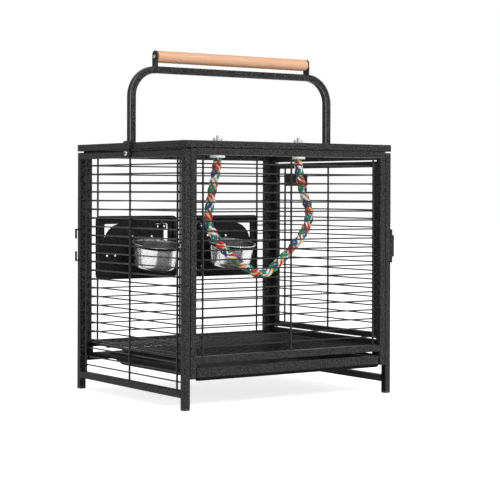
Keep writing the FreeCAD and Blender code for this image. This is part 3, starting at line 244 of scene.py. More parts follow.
def hammered_coat(name, joints=(), highlight_mask=no_painted_highlight, specular=0.07, light=0.066):
    """Charcoal powder coat: fine flecks of a light grey level, shallow dimples, patches rubbed paler, and a
    painted highlight.

    Each shaded joint is an axis with two distances, between which painted shade makes the coat near black, as
    in a narrow gap's shadow.
    """
    ground = (0.002, 0.002, 0.0021, 1)
    patch = (0.014, 0.014, 0.0142, 1)
    gap_shade = grey(0.001)
    highlight_grey = grey(0.24)
    finish = Finish(name)
    place = finish.place()
    speckle = finish.noise(place, scale=430.0, roughness=0.6)
    dimple = finish.cells(place, scale=560.0)
    broad = finish.noise(place, scale=30.0)
    fleck = (speckle * 0.9 + dimple * 0.25).ramp(0.46, 0.68)
    shade = finish.mix(fleck, ground, grey(light))
    shade = finish.mix(broad.ramp(0.4, 0.7) * 0.25, shade, patch)
    shadow = 0.0
    for joint in joints:
        shadow = joint_shadow(finish, *joint).larger(shadow)
    # Painted shade: near black within each shaded joint's band
    shade = finish.mix(shadow * 0.95, shade, gap_shade)
    # Painted highlight: pale grey wherever the highlight mask is
    finish.set("Base Color", finish.mix(highlight_mask(finish), shade, highlight_grey))
    finish.set("Roughness", 0.3 + fleck * 0.2 + shadow * 0.3)
    finish.set("Specular IOR Level", specular)
    finish.bump(dimple + speckle * 0.5, strength=0.3, distance=0.0005)
    return finish.material


def wire_coat(name, specular):
    """Thin powder coat on the wires: near black, with a slight orange peel."""
    dark = (0.004, 0.004, 0.0045, 1)
    light = (0.024, 0.024, 0.025, 1)
    finish = Finish(name)
    peel = finish.noise(finish.place(), scale=600.0)
    finish.set("Base Color", finish.mix(peel.ramp(0.42, 0.72), dark, light))
    finish.set("Roughness", 0.28 + peel * 0.16)
    finish.set("Specular IOR Level", specular)
    finish.bump(peel, strength=0.2, distance=0.0004)
    return finish.material


def grate_coat():
    """Smooth glossy coat on the floor grate, so that its rods catch the light from above."""
    dark = (0.003, 0.003, 0.0033, 1)
    light = (0.018, 0.018, 0.0185, 1)
    finish = Finish("grate_coat")
    peel = finish.noise(finish.place(), scale=500.0)
    finish.set("Base Color", finish.mix(peel.ramp(0.42, 0.72), dark, light))
    finish.set("Roughness", 0.14 + peel * 0.14)
    finish.set("Specular IOR Level", 0.2)
    finish.bump(peel, strength=0.05, distance=0.0003)
    return finish.material


def sheet_coat():
    """Smooth powder coat on folded sheet, with faint scuffs along the pull direction."""
    plain = (0.004, 0.004, 0.0044, 1)
    scuffed = (0.018, 0.018, 0.019, 1)
    finish = Finish("sheet_coat")
    peel = finish.noise(finish.place(), scale=600.0, detail=3.0)
    scuff = finish.noise(finish.place((60.0, 6.0, 60.0)), scale=8.0, detail=4.0, roughness=0.7)
    marked = scuff.ramp(0.58, 0.72)
    finish.set("Base Color", finish.mix(marked * 0.4, plain, scuffed))
    finish.set("Roughness", 0.46 + peel * 0.14 + marked * 0.15)
    finish.set("Specular IOR Level", 0.06)
    finish.bump(peel, strength=0.15, distance=0.0003)
    return finish.material


def zinc_plate(name, dark, light):
    """Zinc plated steel with a cloudy tone."""
    finish = Finish(name)
    cloud = finish.noise(finish.place(), scale=260.0, detail=3.0)
    finish.set("Base Color", finish.mix(cloud, dark, light))
    finish.set("Metallic", 1.0)
    finish.set("Roughness", 0.2 + cloud * 0.18)
    finish.bump(cloud, strength=0.1, distance=0.0002)
    return finish.material


def bowl_steel(name, dark, light, metal, roughness):
    """Pressed stainless steel: fine spun rings and a few dull smears."""
    finish = Finish(name)
    ring = finish.noise(finish.place((2.0, 2.0, 500.0)), scale=2.0)
    smear = finish.noise(finish.place(), scale=40.0, detail=3.0)
    finish.set("Base Color", finish.mix(smear, dark, light))
    finish.set("Metallic", metal)
    finish.set("Roughness", roughness + ring * 0.06 + smear.ramp(0.5, 0.8) * 0.08)
    finish.bump(ring, strength=0.01, distance=0.0002)
    return finish.material


PERCH_HEIGHT = 0.6275
PERCH_HALF = 0.172


def beech_wood():
    """Sanded beech: long pale grain along X, dark flecks, and growth rings on the two sawn ends."""
    grain_dark = (0.55, 0.287, 0.16, 1)
    grain_light = (0.7, 0.42, 0.265, 1)
    warm = (0.64, 0.365, 0.22, 1)
    fleck_brown = (0.42, 0.22, 0.1, 1)
    ring_dark = (0.4, 0.22, 0.11, 1)
    ring_light = (0.66, 0.42, 0.24, 1)
    heart_depth = 0.006
    ring_rate = 4200.0
    finish = Finish("beech_wood")
    grain = finish.noise(finish.place((5.0, 130.0, 130.0)), scale=4.0, detail=4.0, roughness=0.6)
    fleck = finish.noise(finish.place((60.0, 900.0, 900.0)), scale=2.0)
    tone = finish.noise(finish.place((4.0, 20.0, 20.0)), scale=3.0)
    base = finish.mix(grain.ramp(0.3, 0.7), grain_dark, grain_light)
    base = finish.mix(tone * 0.4, base, warm)
    base = finish.mix(fleck.ramp(0.62, 0.72) * 0.5, base, fleck_brown)
    x, y, z = finish.axes()
    off_centre = y - heart_depth
    height = z - PERCH_HEIGHT
    radius = (off_centre * off_centre + height * height) ** 0.5
    ring = ((radius + grain * 0.0006) * ring_rate).sine() * 0.5 + 0.5
    sawn = x.absolute().ramp(PERCH_HALF - 0.0012, PERCH_HALF - 0.0004)
    end = finish.mix(ring, ring_dark, ring_light)
    finish.set("Base Color", finish.mix(sawn, base, end))
    finish.set("Roughness", 0.5 + grain * 0.15 + sawn * 0.15)
    finish.bump(grain + fleck * 0.5, strength=0.12, distance=0.0004)
    return finish.material


def white_plastic():
    """Moulded white plastic with a little grime and a soft texture."""
    grimy = (0.74, 0.74, 0.72, 1)
    clean = (0.88, 0.88, 0.87, 1)
    finish = Finish("white_plastic")
    soft = finish.noise(finish.place(), scale=180.0, detail=3.0)
    finish.set("Base Color", finish.mix(soft, grimy, clean))
    finish.set("Roughness", 0.4 + soft * 0.15)
    finish.bump(soft, strength=0.08, distance=0.0003)
    return finish.material


def black_plastic():
    """Matt black moulded feet, scuffed grey low down."""
    scuffed = (0.07, 0.068, 0.065, 1)
    scuff_height = 0.0025
    finish = Finish("black_plastic")
    soft = finish.noise(finish.place(), scale=500.0, detail=3.0)
    low = 1 - finish.axes()[AXIS_Z].ramp(0.0, scuff_height)
    shade = finish.mix(soft, grey(0.01), grey(0.03))
    finish.set("Base Color", finish.mix(low * soft, shade, scuffed))
    finish.set("Roughness", 0.55 + soft * 0.2)
    finish.bump(soft, strength=0.2, distance=0.0003)
    return finish.material


GREEN = (0.0, 0.28, 0.135, 1)
NAVY = (0.006, 0.055, 0.2, 1)
WHITE = (0.9, 0.9, 0.89, 1)
RED = (0.66, 0.01, 0.024, 1)
ORANGE = (0.95, 0.47, 0.12, 1)
PLY_YARNS = (
    ("rope_yarn_green", (GREEN, NAVY)),
    ("rope_yarn_navy", (GREEN, NAVY, GREEN)),
    ("rope_yarn_red", (RED, WHITE)),
    ("rope_yarn_orange", (ORANGE, RED, ORANGE, WHITE)),
)


def rope_yarn(name, colours):
    """Cotton ply: two to four yarns side by side round it, each with its own twisted fibres.

    The first coordinate runs once round the ply, the second counts metres along it.
    """
    turns_per_metre = 18.0
    fibres = 26.0
    fibre_rate = 3800.0
    finish = Finish(name)
    around, along = finish.uv()
    fray = finish.noise(finish.place(), scale=420.0, detail=3.0) - 0.5
    yarn = (around + along * turns_per_metre + fray * 0.08) * float(len(colours))
    step = yarn % float(len(colours))
    colour = colours[0]
    for number in range(1, len(colours)):
        colour = finish.mix(step.above(float(number)), colour, colours[number])
    groove = (yarn * math.pi).sine().absolute()
    fibre = (yarn * fibres + along * fibre_rate).sine() * 0.5 + 0.5
    speck = finish.noise(finish.place(), scale=1500.0)
    # Painted shade: darker in the grooves between the yarns and between the fibres
    shade = (groove.ramp(0.0, 0.3) * 0.25 + 0.75) * (0.88 + fibre * 0.12)
    dark = finish.mix(0.5, colour, grey(0.0))
    finish.set("Base Color", finish.mix((shade + speck * 0.15).limited(), dark, colour))
    finish.set("Roughness", 0.85)
    finish.set("Sheen Weight", 0.2)
    finish.bump(groove * 1.2 + fibre * 0.35 + speck * 0.3, strength=0.6, distance=0.0008)
    return finish.material


# Surfaces

SHARP_FOLD = math.radians(38)


def grid_quads(rows, columns, loop):
    """Corner numbers of the quads on a grid of closed rings; with loop, the last ring joins the first."""
    count = rows if loop else rows - 1
    row, column = np.meshgrid(np.arange(count), np.arange(columns), indexing="ij")
    here = row * columns
    below = (row + 1) % rows * columns
    after = (column + 1) % columns
    corners = (here + column, here + after, below + after, below + column)
    return np.stack([corner.ravel() for corner in corners], axis=1)


class Shells:
    """Equal closed surfaces, as an array of shells, rings, points on a ring and XYZ.

    A surface runs through its rings in turn. Its two ends are flat caps, or with loop, the ends are joined.
    """

    def __init__(self, grids, loop=False):
        self.grids = np.asarray(grids, dtype=float)
        self.loop = loop

    def faces(self, start):
        """Corner numbers of every face from a first number on, all quads before the caps.

        The sum of each quad's area vector times its middle is above zero where the surface faces outwards.
        """
        count, rows, columns = self.grids.shape[:3]
        quads = grid_quads(rows, columns, self.loop)
        points = self.grids[0].reshape(-1, 3)
        corner = points[quads]
        area = np.cross(corner[:, 2] - corner[:, 0], corner[:, 3] - corner[:, 1])
        swell = np.einsum("ij,ij->", corner.mean(axis=1) - points.mean(axis=0), area)
        ring = np.arange(columns)
        groups = [quads]
        if not self.loop:
            groups += [ring[None, ::-1], ring[None] + (rows - 1) * columns]
        first = start + np.arange(count)[:, None, None] * rows * columns
        faces = []
        for group in groups:
            group = group if swell > 0 else group[:, ::-1]
            faces += (group[None] + first).reshape(-1, group.shape[1]).tolist()
        return faces


def surface_piece(name, *groups):
    """One object of groups of shells, smooth except along sharp folds."""
    faces = []
    points = []
    start = 0
    for group in groups:
        faces += group.faces(start)
        points.append(group.grids.reshape(-1, 3))
        start += len(points[-1])
    mesh = bpy.data.meshes.new(name)
    mesh.from_pydata(np.concatenate(points).tolist(), [], faces)
    mesh.polygons.foreach_set("use_smooth", np.ones(len(faces), dtype=bool))
    mesh.set_sharp_from_angle(angle=SHARP_FOLD)
    piece = bpy.data.objects.new(name, mesh)
    bpy.context.scene.collection.objects.link(piece)
    return piece


def finish_piece(piece, material, body, slot, *replaced):
    """Give a piece its finish, its body and the CAD nodes that it stands for. The slot is not used."""
    piece.data.materials.append(material)
    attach(piece, body)
    if replaced:
        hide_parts(*replaced)


def paint_faces(piece, numbers):
    """Give every face of a piece the finish with its number."""
    piece.data.polygons.foreach_set("material_index", numbers.astype(np.int32))


def round_angles(columns):
    """Even angles once round."""
    return np.linspace(0, TURN, columns, endpoint=False)


def rings(radius, angle, height):
    """Rings of points round the Z axis: a radius and a height for each ring, or for each of its points."""
    return np.stack([radius * np.cos(angle), radius * np.sin(angle), height + 0 * angle], axis=2)


def turned(profile, columns=48):
    """Rings of a turned shape, whose profile has a radius and a height in each row."""
    radius, height = np.asarray(profile, dtype=float).T[:, :, None]
    return rings(radius, round_angles(columns), height)


def placed(template, direction, places):
    """Copies of a template: turned by a matrix, then moved to each place."""
    return (template @ np.array(direction, dtype=float).T)[None] + np.array(places)[:, None, None, :]


def smooth_step(value, low, high):
    """0 below low, 1 above high, and an S-shaped rise between them."""
    share = np.clip((value - low) / (high - low), 0, 1)
    return share * share * (3 - 2 * share)


def rounded_outline(bounds, radius, inset):
    """Rounded rectangle in X and Z, drawn in by an inset: a corner's arc keeps its middle and loses radius.

    The bounds are the near and far X, then the low and high Z. Each corner has a radius of its own.
    """
    near, far, low, high = bounds
    radius = np.array(radius)
    middle_x = np.array([near, far, far, near]) + radius * np.array([1, -1, -1, 1])
    middle_z = np.array([low, low, high, high]) + radius * np.array([1, 1, -1, -1])
    start = np.radians([180, 270, 0, 90])
    angle = start[:, None] + np.linspace(0, math.pi / 2, 12)
    x = middle_x[:, None] + (radius - inset)[:, None] * np.cos(angle)
    z = middle_z[:, None] + (radius - inset)[:, None] * np.sin(angle)
    return x.ravel(), z.ravel()


def sheet_grid(bounds, radius, edge, front, back):
    """A sheet with a rounded outline between two depths, its edges broken by a small chamfer."""
    outlines = []
    for inset, depth in ((edge, front), (0.0, front + edge), (0.0, back - edge), (edge, back)):
        x, z = rounded_outline(bounds, radius, inset)
        outlines.append(np.stack([x, np.full_like(x, depth), z], axis=1))
    return np.stack(outlines)


# A template's own Z axis, turned to point up, to the front, to the back, to the right or to the left
UP = ((1, 0, 0), (0, 1, 0), (0, 0, 1))
TO_FRONT = ((1, 0, 0), (0, 0, -1), (0, 1, 0))
TO_BACK = ((-1, 0, 0), (0, 0, 1), (0, 1, 0))
TO_RIGHT = ((0, 0, 1), (1, 0, 0), (0, 1, 0))
TO_LEFT = ((0, 0, -1), (-1, 0, 0), (0, 1, 0))


# Rope perch

ROPE_PLANE = -0.073
ROPE_LAY = 0.062
ROPE_ROWS = 480
ROPE_ROUTE = (
    (-0.0835, 0.4410),
    (-0.0862, 0.4150),
    (-0.0940, 0.3870),
    (-0.0990, 0.3570),
    (-0.1067, 0.3260),
    (-0.0905, 0.2980),
    (-0.0680, 0.2705),
    (-0.0380, 0.2490),
    (-0.0140, 0.2360),
    (0.0055, 0.2245),
    (0.0295, 0.2255),
    (0.0500, 0.2415),
    (0.0720, 0.2590),
    (0.0940, 0.2795),
    (0.1120, 0.2970),
    (0.1265, 0.3220),
    (0.1275, 0.3460),
    (0.1170, 0.3660),
    (0.1100, 0.3870),
    (0.1025, 0.4130),
    (0.1002, 0.4410),
)


def route_points(name, route):
    """Points along the smooth NURBS line whose control points are the rope's route."""
    curve = bpy.data.curves.new(name, "CURVE")
    curve.dimensions = "3D"
    curve.resolution_u = 48
    spline = curve.splines.new("NURBS")
    spline.points.add(len(route) - 1)
    control = np.array([(x, ROPE_PLANE, z, 1.0) for x, z in route], dtype=np.float32)
    spline.points.foreach_set("co", control.ravel())
    spline.order_u = 3
    spline.use_endpoint_u = True
    line = bpy.data.objects.new(name, curve)
    mesh = bpy.data.meshes.new_from_object(line)
    points = np.empty(len(mesh.vertices) * 3, dtype=np.float32)
    mesh.vertices.foreach_get("co", points)
    bpy.data.objects.remove(line)
    bpy.data.meshes.remove(mesh)
    return points.reshape(-1, 3).astype(float)


def unit(vectors):
    return vectors / np.linalg.norm(vectors, axis=-1, keepdims=True)


def arc_lengths(points):
    """Length run along each line of points, from 0 at its start."""
    steps = np.linalg.norm(np.diff(points, axis=-2), axis=-1)
    return np.concatenate([np.zeros(steps.shape[:-1] + (1,)), np.cumsum(steps, axis=-1)], axis=-1)


def rope_plies(line):
    """Grids and lengths of the eight plies of a round braid.

    Two strands wind each way round the rope's line, once in each lay, and a strand is two plies side by side.
    A strand's distance from the line swings twice in a lay, outwards for one way where it is inwards for the
    other, so that it passes over and then under. A ply's section is an oval, a little wider round the rope
    than across it.
    """
    middle = 0.0047
    swing = 0.0012
    thick = 0.0029
    wide = 0.0031
    spread = 0.68
    way = np.repeat([1, 1, -1, -1], 2)[:, None]
    start = np.repeat([0, math.pi, 0, math.pi], 2)[:, None] + spread * np.tile([-1, 1], 4)[:, None]
    along = arc_lengths(line)
    forward = unit(np.gradient(line, along, axis=0))
    side = np.array([0.0, 1.0, 0.0])
    inner = unit(np.cross(side, forward))
    angle = way * TURN * along / ROPE_LAY + start
    outward = np.cos(angle)[:, :, None] * inner + np.sin(angle)[:, :, None] * side
    reach = middle + way * swing * np.cos(2 * TURN * along / ROPE_LAY)
    centre = line + reach[:, :, None] * outward
    heading = unit(np.gradient(centre, along, axis=1))
    across = unit(np.cross(heading, outward))
    lift = np.cross(across, heading)
    turn = round_angles(12)[:, None]
    section = thick * np.cos(turn) * lift[:, :, None, :] + wide * np.sin(turn) * across[:, :, None, :]
    return centre[:, :, None, :] + section, arc_lengths(centre)


def paint_plies(rope, grids, lengths):
    """Give every quad its ply's finish, and surface coordinates: once round the ply, and metres along it."""
    plies, rows, columns = grids.shape[:3]
    each = (rows - 1) * columns
    finish = np.tile([0, 1], 4) + np.repeat([0, 2], 4)
    number = np.concatenate([np.repeat(finish, each), finish, finish])
    paint_faces(rope, number)
    corner = np.empty(len(rope.data.loops), dtype=np.int32)
    rope.data.loops.foreach_get("vertex_index", corner)
    quads = corner[:plies * each * 4].reshape(-1, 4)
    own_column = (np.arange(plies * each) % columns)[:, None]
    column = quads % columns
    column = np.where((column == 0) & (own_column == columns - 1), columns, column)
    surface = np.zeros((len(corner), 2), dtype=np.float32)
    surface[:quads.size, 0] = column.ravel() / columns
    surface[:quads.size, 1] = lengths.ravel()[quads // columns].ravel()
    rope.data.uv_layers.new(name="surface").data.foreach_set("uv", surface.ravel())


def make_rope():
    """The hanging rope: cool plies wind one way, warm plies the other."""
    line = route_points("rope_line", ROPE_ROUTE)
    along = arc_lengths(line)
    even = np.linspace(0, along[-1], ROPE_ROWS)
    line = np.stack([np.interp(even, along, line[:, axis]) for axis in range(3)], axis=1)
    grids, lengths = rope_plies(line)
    rope = surface_piece("rope_braid", Shells(grids))
    for name, colours in PLY_YARNS:
        rope.data.materials.append(rope_yarn(name, colours))
    paint_plies(rope, grids, lengths)
    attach(rope, "frame")
    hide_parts("rope_perch")


# Rope ends: discs, bolts and wing nuts

ROPE_ENDS = tuple((x, ROPE_PLANE, 0.0) for x, z in (ROPE_ROUTE[0], ROPE_ROUTE[-1]))


def make_discs(finish):
    """White discs: a turned flange with round edges under a slightly tapered hub, bored for the bolt."""
    profile = (
        (0.0031, 0.4410),
        (0.0126, 0.4410),
        (0.0135, 0.4413),
        (0.0140, 0.4421),
        (0.0140, 0.4444),
        (0.0136, 0.4452),
        (0.0128, 0.4455),
        (0.0108, 0.4455),
        (0.0102, 0.4458),
        (0.0100, 0.4465),
        (0.0097, 0.4551),
        (0.0094, 0.4558),
        (0.0087, 0.4561),
        (0.0031, 0.4561),
    )
    discs = surface_piece("rope_end_discs", Shells(placed(turned(profile, 64), UP, ROPE_ENDS), loop=True))
    finish_piece(discs, finish, "frame", "disc_plastic", "rope_discs")


def make_bolts(finish):
    """Threaded bolts: the radius falls and rises once in each pitch, later the further round it is."""
    foot = 0.441
    shank_end = 0.4559
    thread_start = 0.456
    thread_end = 0.4815
    top = 0.482
    pitch = 0.001
    full_radius = 0.003
    thread_depth = 0.00042
    top_radius = 0.0022
    thread = np.arange(thread_start, thread_end, pitch / 6)
    height = np.concatenate([[foot, shank_end], thread, [thread_end, top]])[:, None]
    angle = round_angles(24)
    tooth = 2 * np.abs((height / pitch - angle / TURN) % 1 - 0.5)
    radius = full_radius - thread_depth * tooth
    radius[-1] = top_radius
    bolt = rings(radius, angle, height)
    bolts = surface_piece("rope_end_bolts", Shells(placed(bolt, UP, ROPE_ENDS)))
    finish_piece(bolts, finish, "frame", "bright", "rope_bolts")


def wing_grid():
    """One wing: an oval section carried up and out along a line, narrowing to a round tip.

    The section's half-width falls as a cosine over the tip, while its middle moves on as a sine.
    """
    blade_rows = 12
    tip_rows = 6
    root_half = 0.0026
    bulge = 0.0003
    root_thick = 0.00118
    taper = 0.00022
    root_x = 0.0040
    reach = 0.0042
    root_z = 0.4638
    rise = 0.0128
    share = np.concatenate([np.linspace(0, 1, blade_rows), np.ones(tip_rows)])[:, None]
    tip = np.concatenate([np.zeros(blade_rows), np.linspace(0.2, 1.45, tip_rows)])[:, None]
    direction = unit(np.array([0.42, 0.0, 0.9]))
    normal = np.array([direction[2], 0.0, -direction[0]])
    half = root_half + bulge * np.sin(math.pi * share)
    middle_x = root_x + reach * share ** 1.2
    middle_z = root_z + rise * share
    middle = np.stack([middle_x, 0 * share, middle_z], axis=2)
    middle = middle + (root_half * np.sin(tip))[:, :, None] * direction
    thick = (root_thick - taper * share) * np.cos(0.75 * tip)
    turn = round_angles(20)
    wide = half * np.cos(tip) * np.cos(turn)
    grid = middle + wide[:, :, None] * normal
    grid[:, :, 1] += thick * np.sin(turn)
    return grid


def make_wing_nuts(finish):
    """Wing nuts: a bored, tapered hub with two wings, the second half a turn from the first."""
    hub = turned(
        (
            (0.00305, 0.4609),
            (0.0057, 0.4609),
            (0.0060, 0.4612),
            (0.0060, 0.4634),
            (0.0053, 0.4672),
            (0.0049, 0.4678),
            (0.0043, 0.4679),
            (0.00305, 0.4679),
        )
    )
    half_turn = ((-1, 0, 0), (0, -1, 0), (0, 0, 1))
    wing = wing_grid()
    for side, place in zip(("left", "right"), ROPE_ENDS):
        wings = np.concatenate([placed(wing, UP, [place]), placed(wing, half_turn, [place])])
        hubs = Shells(placed(hub, UP, [place]), loop=True)
        nut = surface_piece(f"rope_wing_nut_{side}", hubs, Shells(wings))
        finish_piece(nut, finish, f"nut_{side}", "bright", f"wing_nut_{side}")


# Feeder bowls

BOWL_REACH = 0.0881
BOWL_DEPTH = 0.1330
BOWL_TOP = 0.2878
BOWL_TILT = math.radians(10)
DIP_HEIGHT = 0.2815
# Depths of the front faces of the ring's plate and of the flap behind it
RING_PLATE_FRONT = 0.1889
FLAP_FRONT = 0.1909
# Rows of the bowl's profile: its bottom, round corner, wall and rolled lip, before the inside starts
BOTTOM_ROWS = 3
CORNER_ROWS = 9
WALL_ROWS = 6
LIP_ROWS = 9
BOWL_INSIDE = BOTTOM_ROWS + CORNER_ROWS + WALL_ROWS + LIP_ROWS
# The row where the matt part with painted shade ends: the foot and the lower part of the round corner
BOWL_FOOT = BOTTOM_ROWS + 4


def arc(middle, radius, start, end, rows):
    """Rows of a radius and a height on an arc, from one angle in degrees to another."""
    angle = np.radians(np.linspace(start, end, rows))
    return np.stack([middle[0] + radius * np.cos(angle), middle[1] + radius * np.sin(angle)], axis=1)


def bowl_profile():
    """Section of a pressed bowl, 0 at its lip's top: foot, round corner, sloping wall, rolled lip, inside."""
    corner = (0.0285, -0.038)
    bottom = ((0.0004, -0.0492), (0.0250, -0.0493), (0.0270, -0.0499))
    outer = arc(corner, 0.012, -90, -5, CORNER_ROWS)
    wall = (
        (0.0415, -0.0310),
        (0.0428, -0.0210),
        (0.0440, -0.0115),
        (0.0449, -0.0046),
        (0.0452, -0.0024),
        (0.0461, -0.0020),
    )
    lip = arc((0.0474, -0.001), 0.001, -90, 90, LIP_ROWS)
    inside = (
        (0.0458, -0.0001),
        (0.0446, -0.0008),
        (0.0440, -0.0024),
        (0.0439, -0.0046),
        (0.0430, -0.0115),
        (0.0418, -0.0210),
        (0.0405, -0.0310),
    )
    inner = arc(corner, 0.011, -90, -5, CORNER_ROWS)[::-1]
    floor = ((0.0260, -0.0488), (0.0004, -0.0484))
    return np.concatenate([bottom, outer, wall, lip, inside, inner, floor])


def dipped(points):
    """Points of a ring or bowl, tipped towards the cage's middle about a line along X on the ring's plate."""
    depth = points[..., 1] - RING_PLATE_FRONT
    height = points[..., 2] - DIP_HEIGHT
    forward = RING_PLATE_FRONT + depth * math.cos(BOWL_TILT) - height * math.sin(BOWL_TILT)
    upward = DIP_HEIGHT + depth * math.sin(BOWL_TILT) + height * math.cos(BOWL_TILT)
    return np.stack([points[..., 0], forward, upward], axis=-1)


def make_bowls(finish, inside_shade_finish, foot_shade_finish):
    """Both bowls: the profile turned round its axis and tipped with its ring. The inside is darker as a
    painted reflection of the dark cage, and the foot darker as painted shade.
    """
    outside_number = 0
    inside_number = 1
    foot_number = 2
    # The caps are the last two faces: first the bottom's, then the floor's
    bottom_cap = -2
    upright = turned(bowl_profile(), 96)
    for side, sign in SIDES:
        bowl = dipped(upright + np.array([sign * BOWL_REACH, BOWL_DEPTH, BOWL_TOP]))
        piece = surface_piece(f"steel_bowl_{side}", Shells(bowl[None]))
        finish_piece(piece, finish, f"bowl_{side}", "bowl_steel", f"feeder_bowl_{side}")
        piece.data.materials.append(inside_shade_finish)
        piece.data.materials.append(foot_shade_finish)
        row = np.arange(len(piece.data.polygons)) // bowl.shape[1]
        number = np.full(len(row), outside_number)
        number[row >= BOWL_INSIDE] = inside_number
        number[row < BOWL_FOOT] = foot_number
        number[bottom_cap] = foot_number
        paint_faces(piece, number)


def make_bowl_straps(finish):
    """Bowl rings: a rounded strap under the bowl's lip, an arm behind it and a plate on the flap."""
    section = (
        (0.0452, 0.2819),
        (0.0456, 0.2815),
        (0.0471, 0.2815),
        (0.0475, 0.2819),
        (0.0475, 0.2851),
        (0.0471, 0.2855),
        (0.0456, 0.2855),
        (0.0452, 0.2851),
    )
    strap = turned(section, 96) + np.array([0.0, BOWL_DEPTH, 0.0])
    arm_bounds = (-0.01, 0.01, 0.2815, 0.2855)
    arm = sheet_grid(arm_bounds, (0.001,) * 4, edge=0.0004, front=0.1790, back=0.1899)
    plate_bounds = (-0.029, 0.029, 0.2775, 0.2975)
    plate = sheet_grid(plate_bounds, (0.003,) * 4, edge=0.0004, front=RING_PLATE_FRONT, back=FLAP_FRONT)
    for side, sign in SIDES:
        place = np.array([sign * BOWL_REACH, 0.0, 0.0])
        band = Shells(dipped(strap + place)[None], loop=True)
        holders = [Shells(dipped(arm + place)[None]), Shells((plate + place)[None])]
        piece = surface_piece(f"bowl_strap_{side}", band, *holders)
        finish_piece(piece, finish, f"feeder_{side}", "coat", f"bowl_ring_{side}")


# Heads of bolts, screws and rivets

def no_recess(x, y):
    return 0 * x * y


def cross_recess(x, y):
    """Two crossed slots, as a share of the head's height."""
    depth = 0.5
    slot_half = 0.13
    slot_reach = 0.56
    near = np.minimum(np.abs(x), np.abs(y))
    far = np.maximum(np.abs(x), np.abs(y))
    return depth * smooth_step(slot_half - near, -0.03, 0.03) * smooth_step(slot_reach - far, -0.05, 0.05)


def hex_recess(x, y):
    """A six-sided socket: the largest distance along three directions is below its half-width."""
    depth = 0.6
    half = 0.5
    angle = np.radians([0, 60, 120])[:, None, None]
    across = np.abs(x * np.cos(angle) + y * np.sin(angle)).max(axis=0)
    return depth * smooth_step(half - across, -0.04, 0.04)


def button_head(radius, height, recess):
    """Button head on a grid of radius shares and angles: a wall, then a low dome less the recess."""
    wall = 0.35
    share = np.concatenate([[1.0], np.linspace(1.0, 0.01, 22)])[:, None]
    angle = round_angles(48)
    x = share * np.cos(angle)
    y = share * np.sin(angle)
    top = wall + (1 - wall) * np.sqrt(1 - np.minimum(share * share, 1)) - recess(x, y)
    top[0] = 0.0
    return np.stack([radius * x, radius * y, height * top], axis=2)


HANDLE_BOLT_HEIGHT = 0.448
# Distances of the outer faces of the handle's brackets and of the perch's tabs from the middle
BRACKET_FACE = 0.2344
TAB_FACE = 0.175


def make_handle_heads(finish, socket_shade_finish):
    """Socket bolts on the handle's brackets and cross screws on the perch's tabs. The sockets are black:
    painted shade and grease in the recess.
    """
    socket_radius = 0.0023
    bolt = button_head(radius=0.0045, height=0.0036, recess=hex_recess)
    screw = button_head(radius=0.0030, height=0.0024, recess=cross_recess)
    groups = []
    for direction, sign in ((TO_LEFT, -1), (TO_RIGHT, 1)):
        groups.append(Shells(placed(bolt, direction, [(sign * BRACKET_FACE, 0.0, HANDLE_BOLT_HEIGHT)])))
        groups.append(Shells(placed(screw, direction, [(sign * TAB_FACE, 0.0, PERCH_HEIGHT)])))
    heads = surface_piece("handle_heads", *groups)
    finish_piece(heads, finish, "frame", "bright", "handle_fasteners")
    heads.data.materials.append(socket_shade_finish)
    middle = np.empty(len(heads.data.polygons) * 3, dtype=np.float32)
    heads.data.polygons.foreach_get("center", middle)
    across, height = middle.reshape(-1, 3)[:, 1:].T
    # Painted shade: faces inside the hex sockets get the black finish
    paint_faces(heads, np.hypot(across, height - HANDLE_BOLT_HEIGHT) < socket_radius)


def make_feeder_heads(finish):
    """Screws that hold the bowl ring and the hinge leaves, and rivets of the flap stop."""
    leaf_front = 0.1897
    screw = button_head(radius=0.0025, height=0.0016, recess=cross_recess)
    rivet = button_head(radius=0.0025, height=0.0016, recess=no_recess)
    for side, sign in SIDES:
        ring_screws = [(sign * x, RING_PLATE_FRONT, 0.2895) for x in (0.0661, 0.1101)]
        hinge_screws = [(sign * x, leaf_front, z) for x in (0.03715, 0.05165) for z in (0.2281, 0.3094)]
        rivets = [(sign * x, FLAP_FRONT, 0.253) for x in (0.1477, 0.1661)]
        screws = Shells(placed(screw, TO_FRONT, ring_screws + hinge_screws))
        heads = surface_piece(f"feeder_heads_{side}", screws, Shells(placed(rivet, TO_FRONT, rivets)))
        finish_piece(heads, finish, f"feeder_{side}", "bright", f"feeder_fasteners_{side}")


# Overlapping rims behind the feeder flaps

def make_flap_rims(finish):
    """Thin sheets behind the flaps, which lap over the window's edges when a feeder is shut."""
    bounds = (0.053, 0.1724, 0.2209, 0.3155)
    corners = (0.003, 0.003, 0.038, 0.003)
    grid = sheet_grid(bounds, corners, edge=0.0002, front=0.1922, back=0.1928)
    for side, sign in SIDES:
        rim = surface_piece(f"flap_rim_{side}", Shells((grid * np.array([sign, 1, 1]))[None]))
        finish_piece(rim, finish, f"feeder_{side}", "coat")


# Foot caps

def make_feet(finish):
    """Moulded caps: rounded square rings, where the sum of two tenth powers is one.

    Each row is a share of the full outline and a height, so that the cap is drawn in at top and bottom.
    """
    half = 0.00635
    rows = ((0.84, 0.0), (0.94, 0.0003), (0.99, 0.0009), (1.0, 0.0018), (1.0, 0.0036), (0.97, 0.004))
    share, height = np.array(rows).T[:, :, None]
    angle = round_angles(64)
    outline = half / (np.abs(np.cos(angle)) ** 10 + np.abs(np.sin(angle)) ** 10) ** 0.1
    cap = rings(share * outline, angle, height)
    places = [(x, y, 0.0) for x in (-POST_X, POST_X) for y in (-POST_Y, POST_Y)]
    feet = surface_piece("moulded_feet", Shells(placed(cap, UP, places)))
    finish_piece(feet, finish, "frame", "foot_plastic", "foot_caps")


# Weld beads where wires cross their stays

TOP_WIRE = 0.4278
SIDE_PITCH = 0.01652
FRONT_PITCH = 0.01685
ROOF_PITCH = 0.0167
GRATE_PITCH = 0.0145
